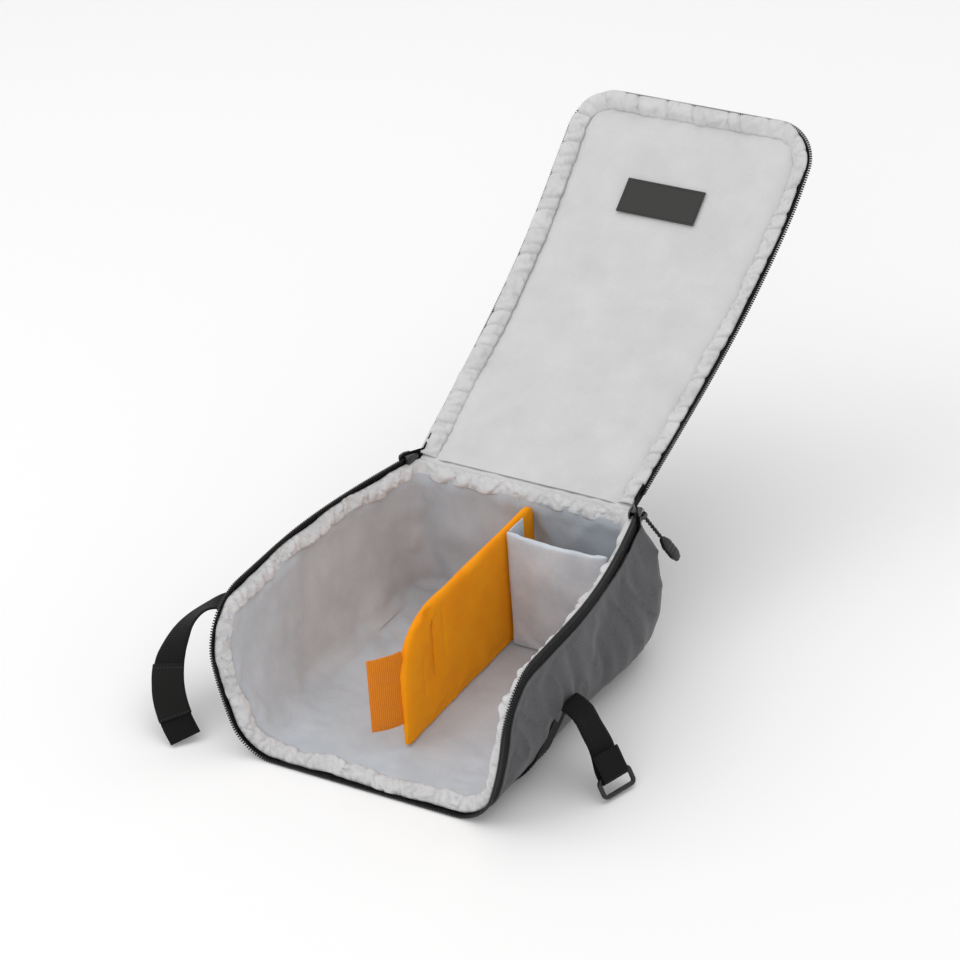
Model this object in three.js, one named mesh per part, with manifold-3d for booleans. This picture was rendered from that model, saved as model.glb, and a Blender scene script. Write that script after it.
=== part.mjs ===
// Padded carrying case for a small drone: a zipped fabric box, open at the front and top, with a lid that
// hinges at the back, wraps over the open front and reaches down to the floor.
// Millimetres. The origin is the centre of the base's underside: +X right, -Y the open front, +Z up.
import * as THREE from "three";
import Module from "manifold-3d";
import { mergeVertices } from "three/addons/utils/BufferGeometryUtils.js";

const wasm = await Module();
wasm.setup();
const { clamp, lerp, smoothstep, degToRad } = THREE.MathUtils;

// Overall size of the case.
const baseWidth = 200;
const caseDepth = 256;
const caseHeight = 120;

// Shape of the side walls: they lean outwards towards the open front.
const mouthRadius = 45;
const mouthFlare = 24;
const hingeNarrowing = 2;
const flareReach = 161;
const flareCurve = 2.2;
const backBulge = 3;
const frontBaseRadius = 24;
const backBaseRadius = 18;
const backCornerRadiusLow = 24;
const backCornerRadiusHigh = 12;

// Layers, as depths below the outer surface, and the gap kept between touching pieces.
const gap = 0.3;
const seamGap = 0.8;
const skinThickness = 1.4;
const foamThickness = 5.5;
const liningThickness = 1.3;
const foamDepth = skinThickness + gap;
const liningDepth = foamDepth + foamThickness + gap;
const wallThickness = liningDepth + liningThickness;

// The zipped edge of the mouth, as distances in from the edge.
const chainWidth = 2.5;
const chainThickness = 2.5;
const tapeThickness = 1;
const rimWidth = 12;

// The lid: half widths at the hinge and at the wide end, tilt of its root at rest, and its built-in curl.
const lidHalfWidthHinge = 94;
const lidHalfWidthFront = 106;
const lidWideningShare = 0.8;
const lidCornerRadius = 36;
const lidTilt = 23;
const lidCurl = 25;
const lidCurlStart = 69;
const lidCurlLength = 380;
const lidRootClearance = 6;
const lidZipStart = 16;
const lidTapeWidth = 7;
const lidBindingWidth = 12;
const lidFoamThickness = 4;
const lidFaceClearance = 1;

// The fold line across the lid, where its front part bends down over the open front.
const flexPastCorner = 33;
const flexDepth = 4.2;
const flexHalfGap = 3;

// Label on the lid's lining.
const labelWidth = 68;
const labelHeight = 30;
const labelPastFlex = 27;
const labelShift = -4;

// Webbing straps on the two side walls.
const webbingWidth = 24;
const webbingThickness = 1.5;
const strapRootY = -36;
const strapRootZ = 50;
const anchorFootY = -66;
const anchorGap = 1;
const ringSlotWidth = 26;
const ringWire = 3;
const ringPitch = 12.5;
const ringBarClearance = 0.9;
const strapLoopLeg = 18;

// Zip sliders and their pulls.
const sliderLength = 12;
const sliderBackInset = 7;
const sliderSideInset = 1.5;
const sliderPathSlope = 0.2345;
const sliderPlate = 1.8;
const pullCordLength = 24;
const pullCordRadius = 1.3;
const pullGripLength = 24;
const pullGripWidth = 9;
const pullGripThickness = 5;

// Padded dividers.
const dividerX = 10;
const dividerThickness = 7;
const dividerCoverThickness = 1;
const dividerFrontY = -80;
const dividerTopZ = 110;
const dividerFrontRadius = 44;
const dividerBackClearance = 1.5;
const floorClearance = 0.4;
const tabLength = 25;
const tabThickness = 2.4;
const tabLowZ = 30;
const tabHighZ = 88;
const tabSplay = 35;
const crossDividerY = 72;
const crossDividerThickness = 4.5;
const crossDividerWallClearance = 3.2;
const crossDividerHeelClearance = 2.5;
const crossFlapLength = 20;
const crossFlapThickness = 1.6;

const halfDepth = caseDepth / 2;
const mouthCentreY = -halfDepth + mouthRadius;
const mouthCentreZ = caseHeight - mouthRadius;
const mouthLength = caseDepth - mouthRadius + (Math.PI / 2) * mouthRadius + mouthCentreZ;
const tapeInset = chainWidth + gap;
const flexAlong = caseDepth - mouthRadius + flexPastCorner;
const labelAlong = flexAlong + labelPastFlex;
const sliderX = baseWidth / 2 - sliderSideInset;
const sliderY = halfDepth - sliderBackInset;
const quarter = Math.PI / 2;
const up = new THREE.Vector3(0, 0, 1);

const materials = {
  shell: new THREE.MeshStandardMaterial({ color: "#5e5d60", roughness: 0.85, metalness: 0 }),
  lining: new THREE.MeshStandardMaterial({ color: "#d2d2d2", roughness: 0.8, metalness: 0 }),
  foam: new THREE.MeshStandardMaterial({ color: "#8a8a8a", roughness: 0.95, metalness: 0 }),
  zip: new THREE.MeshStandardMaterial({ color: "#1c1c1c", roughness: 0.6, metalness: 0 }),
  webbing: new THREE.MeshStandardMaterial({ color: "#1e1e1e", roughness: 0.8, metalness: 0 }),
  plastic: new THREE.MeshStandardMaterial({ color: "#161616", roughness: 0.4, metalness: 0 }),
  metal: new THREE.MeshStandardMaterial({ color: "#202020", roughness: 0.35, metalness: 0.6 }),
  divider: new THREE.MeshStandardMaterial({ color: "#f09010", roughness: 0.8, metalness: 0 }),
  satin: new THREE.MeshStandardMaterial({ color: "#c9c9cb", roughness: 0.5, metalness: 0 }),
  label: new THREE.MeshStandardMaterial({ color: "#4a4a4a", roughness: 0.7, metalness: 0 }),
};

const group = new THREE.Group();

function add(name, geometry, material) {
  const mesh = new THREE.Mesh(geometry, material);
  mesh.name = name;
  group.add(mesh);
  return mesh;
}

// Evenly spaced values from first to last, both included.
function steps(first, last, count) {
  return Array.from({ length: count + 1 }, (_, i) => lerp(first, last, i / count));
}

// Points on an arc in a plane, between two angles in degrees.
function arcPoints(centreX, centreY, radius, from, to, count) {
  return steps(from, to, count).map((a) => {
    const angle = degToRad(a);
    return new THREE.Vector2(centreX + radius * Math.cos(angle), centreY + radius * Math.sin(angle));
  });
}

// Signed volume of an indexed triangle mesh, used to turn a solid's faces outwards.
function signedVolume(points, indices) {
  let volume = 0;
  for (let i = 0; i < indices.length; i += 3) {
    const [a, b, c] = [points[indices[i]], points[indices[i + 1]], points[indices[i + 2]]];
    volume += a.dot(new THREE.Vector3().crossVectors(b, c));
  }
  return volume;
}

// A closed slab between two point grids of the same size: near[i][j] is one face and far[i][j] the other.
function slab(near, far) {
  const rows = near.length;
  const columns = near[0].length;
  const points = [...near.flat(), ...far.flat()];
  const at = (side, i, j) => side * rows * columns + i * columns + j;
  const indices = [];
  const quad = (a, b, c, d) => indices.push(a, b, c, a, c, d);
  for (let i = 0; i + 1 < rows; i++) {
    for (let j = 0; j + 1 < columns; j++) {
      quad(at(0, i, j), at(0, i + 1, j), at(0, i + 1, j + 1), at(0, i, j + 1));
      quad(at(1, i, j), at(1, i, j + 1), at(1, i + 1, j + 1), at(1, i + 1, j));
    }
    quad(at(0, i, 0), at(1, i, 0), at(1, i + 1, 0), at(0, i + 1, 0));
    quad(at(0, i + 1, columns - 1), at(1, i + 1, columns - 1), at(1, i, columns - 1), at(0, i, columns - 1));
  }
  for (let j = 0; j + 1 < columns; j++) {
    quad(at(0, 0, j + 1), at(1, 0, j + 1), at(1, 0, j), at(0, 0, j));
    quad(at(0, rows - 1, j), at(1, rows - 1, j), at(1, rows - 1, j + 1), at(0, rows - 1, j + 1));
  }
  if (signedVolume(points, indices) < 0) indices.reverse();
  const geometry = new THREE.BufferGeometry().setFromPoints(points);
  geometry.setIndex(indices);
  return geometry;
}

// Right or left copy of a point grid: side is 1 for the right and -1 for the left.
function mirrorGrid(grid, side) {
  return grid.map((row) => row.map((p) => new THREE.Vector3(side * p.x, p.y, p.z)));
}

// ---- The body's surface ----

// Half width of the case at depth y and height z.
function wallX(y, z) {
  const reach = clamp((halfDepth - y) / flareReach, 0, 1);
  const lean = (mouthFlare + hingeNarrowing) * Math.sin(reach * quarter) - hingeNarrowing;
  const rise = 1 - Math.pow(1 - clamp(z / caseHeight, 0, 1), flareCurve);
  const bulge = backBulge * (1 - reach) * Math.pow(Math.sin(Math.PI * clamp(z / caseHeight, 0, 1)), 2);
  return baseWidth / 2 + lean * rise + bulge;
}

function backCornerRadius(z) {
  return lerp(backCornerRadiusLow, backCornerRadiusHigh, clamp(z / caseHeight, 0, 1));
}

// Point on the right wall's plan at height z: along runs 0 to 1 on the side and 1 to 2 round the back corner.
function planPoint(along, z) {
  const radius = backCornerRadius(z);
  const cornerY = halfDepth - radius;
  if (along <= 1) {
    const y = -halfDepth + along * (caseDepth - radius);
    return new THREE.Vector2(wallX(y, z), y);
  }
  const angle = Math.min(along - 1, 1) * quarter;
  const corner = new THREE.Vector2(wallX(halfDepth, z), halfDepth);
  const start = new THREE.Vector2(wallX(cornerY, z), cornerY);
  const point = start.clone();
  point.addScaledVector(corner.clone().sub(start), Math.sin(angle));
  point.x -= radius * (1 - Math.cos(angle));
  if (along > 2) point.x -= along - 2;
  return point;
}

function baseRadius(along) {
  return lerp(frontBaseRadius, backBaseRadius, clamp(along, 0, 1));
}

// Horizontal direction from the wall towards the inside of the case.
function inwardAt(along, z) {
  const nudge = 0.004;
  const tangent = planPoint(along + nudge, z).sub(planPoint(along - nudge, z)).normalize();
  return new THREE.Vector2(-tangent.y, tangent.x);
}

// Point on the outer surface. A level of 0 or more is a height on the wall. A level from -1 to 0 runs round
// the bottom edge, from the flat base up to where the wall starts.
function shellPoint(along, level) {
  if (level >= 0) {
    const plan = planPoint(along, level);
    return new THREE.Vector3(plan.x, plan.y, level);
  }
  const radius = baseRadius(along);
  const angle = (1 + level) * quarter;
  const top = planPoint(along, radius);
  const slope = planPoint(along, radius + 1).sub(top);
  const edge = top.clone().addScaledVector(slope, -radius);
  const foot = edge.clone().addScaledVector(inwardAt(along, radius), radius);
  const plan = foot.clone();
  plan.addScaledVector(edge.clone().sub(foot), Math.sin(angle));
  plan.addScaledVector(top.clone().sub(edge), 1 - Math.cos(angle));
  return new THREE.Vector3(plan.x, plan.y, radius * (1 - Math.cos(angle)));
}

// Point at a depth below the outer surface, square to it.
function shellInside(along, level, depth) {
  const nudge = 0.004;
  const low = level < 0 ? Math.max(level - 0.02, -1) : Math.max(level - 0.5, baseRadius(along));
  const high = level < 0 ? Math.min(level + 0.02, -1e-6) : Math.max(level, low) + 0.5;
  const forward = shellPoint(along + nudge, level).sub(shellPoint(along - nudge, level));
  const upward = shellPoint(along, high).sub(shellPoint(along, low));
  const outward = forward.cross(upward).normalize();
  return shellPoint(along, level).addScaledVector(outward, -depth);
}

// The plan coordinate of depth y at a level on the side wall.
function alongAt(y, level) {
  const z = level < 0 ? baseRadius((y + halfDepth) / caseDepth) : level;
  return (y + halfDepth) / (caseDepth - backCornerRadius(z));
}

function stationPoint(station, level, depth) {
  const along = station.along ?? alongAt(station.y, level);
  return shellInside(along, level, depth);
}

// Height of the wall's top edge at a station, set in from the mouth's edge.
function topAt(station, inset) {
  if (station.along !== undefined || station.y >= mouthCentreY) return caseHeight - inset;
  const reach = mouthRadius - inset;
  return mouthCentreZ + Math.sqrt(Math.max(reach * reach - (station.y - mouthCentreY) ** 2, 0));
}

// One layer of a side wall, from the flat base up to the mouth and round the back corner.
function wallLayer(side, depthNear, depthFar, inset) {
  const stations = [
    ...steps(90, 18, 4).map((a) => ({ y: mouthCentreY - (mouthRadius - inset) * Math.sin(degToRad(a)) })),
    ...steps(mouthCentreY, halfDepth - backCornerRadiusLow - 4, 4).map((y) => ({ y })),
    ...steps(1, 2, 3).map((along) => ({ along })),
  ];
  const grid = (depth) =>
    stations.map((station) => {
      const start = baseRadius(station.along ?? (station.y + halfDepth) / caseDepth);
      const levels = [...steps(-1, -0.25, 3), ...steps(start, topAt(station, inset), 4)];
      return levels.map((level) => stationPoint(station, level, depth));
    });
  return slab(mirrorGrid(grid(depthNear), side), mirrorGrid(grid(depthFar), side));
}

// One layer of the back wall, between the two rounded back corners.
function backLayer(depthNear, depthFar, inset) {
  const levels = [...steps(-1, -0.25, 3), ...steps(backBaseRadius, caseHeight - inset, 3)];
  const grid = (depth) =>
    steps(-1, 1, 4).map((share) =>
      levels.map((level) => {
        const angle = (1 + level) * quarter;
        const reach = backBaseRadius - depth;
        const z = level >= 0 ? level : backBaseRadius - reach * Math.cos(angle);
        const y = level >= 0 ? halfDepth - depth : halfDepth - backBaseRadius + reach * Math.sin(angle);
        const seamZ = level >= 0 ? level : backBaseRadius * (1 - Math.cos(angle));
        const halfWidth = wallX(halfDepth, seamZ) - backCornerRadius(seamZ) - seamGap;
        return new THREE.Vector3(share * halfWidth, y, z);
      }),
    );
  return slab(grid(depthNear), grid(depthFar));
}

// The flat part of the base, between the rounded bottom edges.
function baseOutline(frontInset) {
  const right = [
    ...steps(frontInset, caseDepth - backCornerRadiusLow - 4, 5).map((d) => ({ y: d - halfDepth })),
    ...steps(1, 2, 4).map((along) => ({ along })),
  ].map((station) => {
    const along = station.along ?? alongAt(station.y, -1);
    const inward = inwardAt(along, baseRadius(along)).multiplyScalar(seamGap);
    const foot = shellPoint(along, -1);
    return new THREE.Vector2(foot.x + inward.x, foot.y + inward.y);
  });
  const left = right.map((p) => new THREE.Vector2(-p.x, p.y)).reverse();
  return [...right, ...left];
}

function basePlate(low, high, frontInset) {
  const shape = new THREE.Shape(baseOutline(frontInset));
  const geometry = new THREE.ExtrudeGeometry(shape, { depth: high - low, bevelEnabled: false });
  return geometry.translate(0, 0, low);
}

// ---- Body panels ----

const panelInset = rimWidth + gap;
const layers = [
  { layer: "panel", near: 0, far: skinThickness, material: materials.shell },
  { layer: "foam", near: foamDepth, far: foamDepth + foamThickness, material: materials.foam },
  { layer: "lining", near: liningDepth, far: wallThickness, material: materials.lining },
];
const sides = [
  { word: "right", sign: 1 },
  { word: "left", sign: -1 },
];

for (const { layer, near, far, material } of layers) {
  add(`base_${layer}`, basePlate(near, far, panelInset), material);
  add(`back_${layer}`, backLayer(near, far, layer === "panel" ? gap : 3 + gap), material);
  for (const { word, sign } of sides) {
    add(`${word}_side_${layer}`, wallLayer(sign, near, far, panelInset), material);
  }
}

// ---- The mouth's edge: binding, zip tape and zip chain ----

// Stations along the mouth from the back corner to the base's front corner. Each gives a point for an inset.
function mouthStations(backAlong) {
  const corner = backAlong > 1 ? steps(backAlong, 1, 3) : [1];
  const topFrom = halfDepth - backCornerRadiusHigh - 4;
  return [
    ...corner.map((along) => (inset) => [{ along }, caseHeight - inset]),
    ...steps(topFrom, mouthCentreY, 6).map((y) => (inset) => [{ y }, caseHeight - inset]),
    ...steps(15, 90, 5).map((a) => (inset) => {
      const reach = mouthRadius - inset;
      const angle = degToRad(a);
      return [{ y: mouthCentreY - reach * Math.sin(angle) }, mouthCentreZ + reach * Math.cos(angle)];
    }),
    ...steps(0.33, 1, 2).map((share) => (inset) => {
      return [{ y: inset - halfDepth }, lerp(mouthCentreZ, frontBaseRadius, share)];
    }),
    ...steps(-0.25, -1, 3).map((level) => (inset) => [{ y: inset - halfDepth }, level]),
  ];
}

function mouthStrip(side, insets, depths, backAlong) {
  const grid = (depth) =>
    mouthStations(backAlong).map((place) =>
      insets.map((inset) => {
        const [station, level] = place(inset);
        return stationPoint(station, level, depth);
      }),
    );
  return slab(mirrorGrid(grid(depths[0]), side), mirrorGrid(grid(depths[1]), side));
}

// The same strip across the base's front edge, between the two rounded corners.
function frontStrip(insets, depths) {
  const foot = (inset) => shellPoint(alongAt(inset - halfDepth, -1), -1).x - seamGap;
  const grid = (depth) =>
    steps(-1, 1, 4).map((share) =>
      insets.map((inset) => new THREE.Vector3(share * foot(inset), inset - halfDepth, depth)),
    );
  return slab(grid(depths[0]), grid(depths[1]));
}

const tapeInsets = [tapeInset, rimWidth];
const tapeDepths = [0, tapeThickness];
const bindingInsets = [tapeInset + gap, rimWidth];
const bindingDepths = [tapeThickness + gap, wallThickness];
const chainInsets = [0, chainWidth];
const chainDepths = [0, chainThickness];
const chainBackAlong = 1.35;

for (const { word, sign } of sides) {
  add(`${word}_rim_binding`, mouthStrip(sign, bindingInsets, bindingDepths, 2), materials.lining);
  add(`${word}_zip_tape`, mouthStrip(sign, tapeInsets, tapeDepths, 2), materials.zip);
  add(`${word}_zip_chain`, mouthStrip(sign, chainInsets, chainDepths, chainBackAlong), materials.zip);
}
add("front_rim_binding", frontStrip(bindingInsets, bindingDepths), materials.lining);
add("front_zip_tape", frontStrip(tapeInsets, tapeDepths), materials.zip);
add("front_zip_chain", frontStrip(chainInsets, chainDepths), materials.zip);

// Binding along the back wall's top, and the fabric gusset outside it that the lid hinges on.
const backTopHalf = wallX(halfDepth, caseHeight) - backCornerRadiusHigh - seamGap;
const backBindingHeight = 2.7;
const backBinding = new THREE.BoxGeometry(2 * backTopHalf, wallThickness - foamDepth, backBindingHeight);
const backBindingY = halfDepth - (foamDepth + wallThickness) / 2;
backBinding.translate(0, backBindingY, caseHeight - gap - backBindingHeight / 2);
add("back_rim_binding", backBinding, materials.lining);

const gussetHeight = 14;
const gusset = new THREE.BoxGeometry(2 * backTopHalf, tapeThickness, gussetHeight);
gusset.translate(0, halfDepth + gap + tapeThickness / 2, caseHeight - gap - gussetHeight / 2);
add("hinge_gusset", gusset, materials.shell);

// ---- The lid ----

// The lid's centre line, from the hinge, as 1 mm steps of position and direction.
const lidLine = [{ y: halfDepth, z: caseHeight, angle: degToRad(lidTilt) }];
for (let i = 1; i <= Math.ceil(mouthLength) + 1; i++) {
  const last = lidLine[i - 1];
  const bend = lidCurl * smoothstep(i - 0.5, lidCurlStart, lidCurlStart + lidCurlLength);
  const angle = degToRad(lidTilt + bend);
  lidLine.push({ y: last.y + Math.cos(angle), z: last.z + Math.sin(angle), angle });
}

// Point on the lid: along from the hinge, across to the right, and depth towards its outer face.
function lidPoint(along, across, depth) {
  const index = Math.floor(clamp(along, 0, lidLine.length - 2));
  const [from, to] = [lidLine[index], lidLine[index + 1]];
  const share = along - index;
  const angle = lerp(from.angle, to.angle, share);
  const y = lerp(from.y, to.y, share) + depth * Math.sin(angle);
  const z = lerp(from.z, to.z, share) - depth * Math.cos(angle);
  return new THREE.Vector3(across, y, z);
}

function lidHalfWidth(along) {
  const share = clamp(along / (mouthLength * lidWideningShare), 0, 1);
  return lerp(lidHalfWidthHinge, lidHalfWidthFront, share);
}

const lidCornerAlong = mouthLength - lidCornerRadius;
const lidCornerAcross = lidHalfWidthFront - lidCornerRadius;
const flexBefore = flexAlong - flexHalfGap;
const flexAfter = flexAlong + flexHalfGap;

// Half width of a lid layer that is set in from the lid's edge.
function lidReach(along, inset) {
  if (along <= lidCornerAlong) return lidHalfWidth(along) - inset;
  const reach = lidCornerRadius - inset;
  return lidCornerAcross + Math.sqrt(Math.max(reach * reach - (along - lidCornerAlong) ** 2, 0));
}

function lidLayer(rows, inset, depths) {
  const grid = (depth) =>
    rows.map((along) => {
      const reach = lidReach(along, inset);
      return steps(-1, 1, 6).map((share) => lidPoint(along, share * reach, depth));
    });
  return slab(grid(depths[0]), grid(depths[1]));
}

function flapRows(inset) {
  const turn = steps(0, 90, 5).map((a) => lidCornerAlong + (lidCornerRadius - inset) * Math.sin(degToRad(a)));
  return [...steps(flexAfter, lidCornerAlong, 3).slice(0, -1), ...turn];
}

// Stations round the front part's edge, from the right fold line to the left one.
function flapEdge(inset) {
  const sideRows = steps(flexAfter, lidCornerAlong, 3).slice(0, -1);
  const side = sideRows.map((along) => [along, lidReach(along, inset)]);
  const corner = steps(0, 90, 5).map((a) => {
    const reach = lidCornerRadius - inset;
    const angle = degToRad(a);
    return [lidCornerAlong + reach * Math.sin(angle), lidCornerAcross + reach * Math.cos(angle)];
  });
  const right = [...side, ...corner];
  const left = right.map(([along, across]) => [along, -across]).reverse();
  return [...right, ...left];
}

// Stations round the main part's edge, from the right fold line along the hinge to the left fold line.
function rootEdge(inset) {
  const hingeSide = lidRootClearance + inset - lidTapeWidth - tapeInset;
  const right = steps(flexBefore, hingeSide, 8).map((along) => [along, lidReach(along, inset)]);
  const left = right.map(([along, across]) => [along, -across]).reverse();
  return [...right, ...left];
}

function lidStrip(edge, insets, depths) {
  const paths = insets.map((inset) => edge(inset));
  const grid = (depth) =>
    paths[0].map((_, i) => paths.map((path) => lidPoint(path[i][0], path[i][1], depth)));
  return slab(grid(depths[0]), grid(depths[1]));
}

function lidSideEdge(side) {
  return (inset) => steps(lidZipStart, flexBefore, 8).map((along) => [along, side * lidReach(along, inset)]);
}

const lidBindingInset = tapeInset + lidTapeWidth + gap;
const lidLiningInset = lidBindingInset + lidBindingWidth + gap;
const lidLiningNear = lidFaceClearance + 1;
const lidFoamNear = lidLiningNear + liningThickness + gap;
const lidPanelNear = lidFoamNear + lidFoamThickness + gap;
const lidLiningDepths = [lidLiningNear, lidLiningNear + liningThickness];
const lidFoamDepths = [lidFoamNear, lidFoamNear + lidFoamThickness];
const lidPanelDepths = [lidPanelNear, lidPanelNear + skinThickness];
const lidBindingDepths = [lidFaceClearance - 0.6, lidLiningNear + liningThickness];
const lidTapeDepths = [lidLiningNear, lidLiningNear + tapeThickness];
const lidChainDepths = [lidFaceClearance, lidFaceClearance + chainThickness];
const rootRows = steps(lidRootClearance, flexBefore, 7);
const rootLiningRows = steps(lidRootClearance + lidBindingWidth + gap, flexBefore, 7);

add("lid_panel", lidLayer(rootRows, lidBindingInset, lidPanelDepths), materials.shell);
add("lid_foam", lidLayer(rootRows, lidBindingInset, lidFoamDepths), materials.foam);
add("lid_lining", lidLayer(rootLiningRows, lidLiningInset, lidLiningDepths), materials.lining);
const lidBindingInsets = [lidBindingInset, lidLiningInset - gap];
add("lid_binding", lidStrip(rootEdge, lidBindingInsets, lidBindingDepths), materials.lining);
const lidTapeInsets = [tapeInset, tapeInset + lidTapeWidth];
for (const { word, sign } of sides) {
  add(`${word}_lid_tape`, lidStrip(lidSideEdge(sign), lidTapeInsets, lidTapeDepths), materials.zip);
  add(`${word}_lid_chain`, lidStrip(lidSideEdge(sign), chainInsets, lidChainDepths), materials.zip);
}

add("flap_panel", lidLayer(flapRows(lidBindingInset), lidBindingInset, lidPanelDepths), materials.shell);
add("flap_foam", lidLayer(flapRows(lidBindingInset), lidBindingInset, lidFoamDepths), materials.foam);
add("flap_lining", lidLayer(flapRows(lidLiningInset), lidLiningInset, lidLiningDepths), materials.lining);
add("flap_binding", lidStrip(flapEdge, lidBindingInsets, lidBindingDepths), materials.lining);
add("flap_tape", lidStrip(flapEdge, lidTapeInsets, lidTapeDepths), materials.zip);
add("flap_chain", lidStrip(flapEdge, chainInsets, lidChainDepths), materials.zip);

const labelRows = steps(labelAlong - labelHeight / 2, labelAlong + labelHeight / 2, 3);
const labelGrid = (depth) =>
  labelRows.map((along) => [-1, 1].map((s) => lidPoint(along, labelShift + (s * labelWidth) / 2, depth)));
add("lid_label", slab(labelGrid(lidFaceClearance), labelGrid(lidLiningNear - gap)), materials.label);

// ---- Straps ----

// A flat strap along a smooth curve. Each point has a width direction, and the strap's face follows it.
function ribbon(points, widthDirections, width, thickness, count) {
  const curve = new THREE.CatmullRomCurve3(points, false, "centripetal");
  const near = [];
  const far = [];
  for (const t of steps(0, 1, count)) {
    const spot = t * (points.length - 1);
    const index = Math.min(Math.floor(spot), points.length - 2);
    const across = widthDirections[index].clone().lerp(widthDirections[index + 1], spot - index);
    const tangent = curve.getTangent(t);
    across.addScaledVector(tangent, -across.dot(tangent)).normalize();
    const face = tangent.clone().cross(across);
    const edgePoint = (s, f) => {
      const point = curve.getPoint(t).addScaledVector(across, (s * width) / 2);
      return point.addScaledVector(face, (f * thickness) / 2);
    };
    near.push([edgePoint(-1, -1), edgePoint(1, -1)]);
    far.push([edgePoint(-1, 1), edgePoint(1, 1)]);
  }
  return slab(near, far);
}

const vector = (x, y, z) => new THREE.Vector3(x, y, z);
const vectors = (rows) => rows.map(([x, y, z]) => vector(x, y, z));
const rootX = wallX(strapRootY, strapRootZ) + webbingThickness + anchorGap + gap;

// The webbing sewn flat on the wall, from the strap's root down to the base seam.
function anchorStrip(side) {
  const run = steps(0, 1, 6).map((t) => {
    const y = lerp(strapRootY, anchorFootY, t);
    const level = t < 0.6 ? lerp(strapRootZ, frontBaseRadius, t / 0.6) : lerp(-0.05, -0.6, (t - 0.6) / 0.4);
    return { y, level };
  });
  const grid = (depth) =>
    run.map(({ y, level }) =>
      [-1, 1].map((s) => stationPoint({ y: y + (s * webbingWidth) / 2 }, level, depth)),
    );
  return slab(mirrorGrid(grid(-anchorGap), side), mirrorGrid(grid(-anchorGap - webbingThickness), side));
}

for (const { word, sign } of sides) {
  add(`${word}_strap_anchor`, anchorStrip(sign), materials.webbing);
}

// Left strap: long, with a label patch and a folded end. It bows out from the wall and comes down in front.
const leftStrapPath = vectors([
  [-rootX - 1, strapRootY, strapRootZ + 2],
  [-140, -38, 63],
  [-159, -46, 70],
  [-173, -57, 68],
  [-181, -71, 61],
  [-182, -86, 53],
  [-179, -102, 43],
  [-171, -117, 28.5],
  [-160, -127, 15],
  [-148, -133.5, 4.5],
]);
const leftStrapWidths = vectors([
  [0, 1, 0],
  [0, 1, 0],
  [-0.25, 0.9, -0.3],
  [-0.55, 0.6, -0.55],
  [-0.8, 0.3, -0.5],
  [-0.95, 0.05, -0.3],
  [-0.97, -0.2, -0.1],
  [-0.9, -0.4, 0],
  [-0.82, -0.57, 0],
  [-0.78, -0.62, 0],
]);
const leftWebbing = ribbon(leftStrapPath, leftStrapWidths, webbingWidth, webbingThickness, 24);
add("left_strap_webbing", leftWebbing, materials.webbing);

// The label patch and the folded end lie on the strap's two faces, over its last stretch.
function strapPatch(fromIndex, toIndex, offset, width, thickness) {
  const facing = (i) => {
    const tangent = leftStrapPath[Math.min(i + 1, leftStrapPath.length - 1)].clone();
    tangent.sub(leftStrapPath[Math.max(i - 1, 0)]).normalize();
    const across = leftStrapWidths[i].clone();
    across.addScaledVector(tangent, -across.dot(tangent)).normalize();
    return tangent.cross(across);
  };
  const indices = steps(fromIndex, toIndex, toIndex - fromIndex);
  const points = indices.map((i) => leftStrapPath[i].clone().addScaledVector(facing(i), offset));
  return ribbon(points, indices.map((i) => leftStrapWidths[i]), width, thickness, 8);
}
const lastPoint = leftStrapPath.length - 1;
const patchThickness = 0.9;
const patchOffset = webbingThickness / 2 + 3 * gap + patchThickness / 2;
const patchWidth = webbingWidth + 2;
const labelPatch = strapPatch(lastPoint - 3, lastPoint - 1, -patchOffset, patchWidth, patchThickness);
add("left_strap_label", labelPatch, materials.label);
const foldedEnd = strapPatch(lastPoint - 2, lastPoint, patchOffset, webbingWidth, patchThickness);
add("left_strap_fold", foldedEnd, materials.webbing);

// Right strap: short, with a rectangular ring held in its sewn end loop.
const ringBar = vector(164.7, -51, 14.2);
const ringAcross = vector(0.31, 0.95, 0).normalize();
const ringDown = vector(0.45, -0.3, -0.84);
ringDown.addScaledVector(ringAcross, -ringDown.dot(ringAcross)).normalize();
const ringFace = ringDown.clone().cross(ringAcross).normalize();
const loopRadius = ringWire / 2 + ringBarClearance + webbingThickness / 2;
function onRing(down, face) {
  return ringBar.clone().addScaledVector(ringDown, down).addScaledVector(ringFace, face);
}

const rightStrapEnd = -7;
const rightStrapPath = [
  ...vectors([
    [rootX + 1, strapRootY - 1, strapRootZ + 2],
    [124, -37, 56],
    [135.4, -39, 51.5],
    [144.3, -42, 41.5],
    [152.6, -45, 31],
  ]),
  onRing(rightStrapEnd, -loopRadius),
];
const rightStrapWidths = [
  ...vectors([
    [0, 1, 0],
    [0, 1, 0],
    [0.05, 1, 0],
    [0.1, 1, 0],
    [0.2, 0.97, 0],
  ]),
  ringAcross,
];
const rightWebbing = ribbon(rightStrapPath, rightStrapWidths, webbingWidth, webbingThickness, 18);
add("right_strap_webbing", rightWebbing, materials.webbing);

// The loop leaves the strap's end, passes round the ring's upper bar and lies back under the strap.
const loopStart = rightStrapEnd + 2.2;
const loopTurn = arcPoints(0, 0, loopRadius, -90, 90, 6).map((p) => onRing(p.x, p.y));
const loopPath = [onRing(loopStart, -loopRadius), ...loopTurn, onRing(-strapLoopLeg, loopRadius - 0.6)];
const loopWidths = loopPath.map(() => ringAcross);
add("right_strap_loop", ribbon(loopPath, loopWidths, webbingWidth, webbingThickness, 24), materials.webbing);

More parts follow.
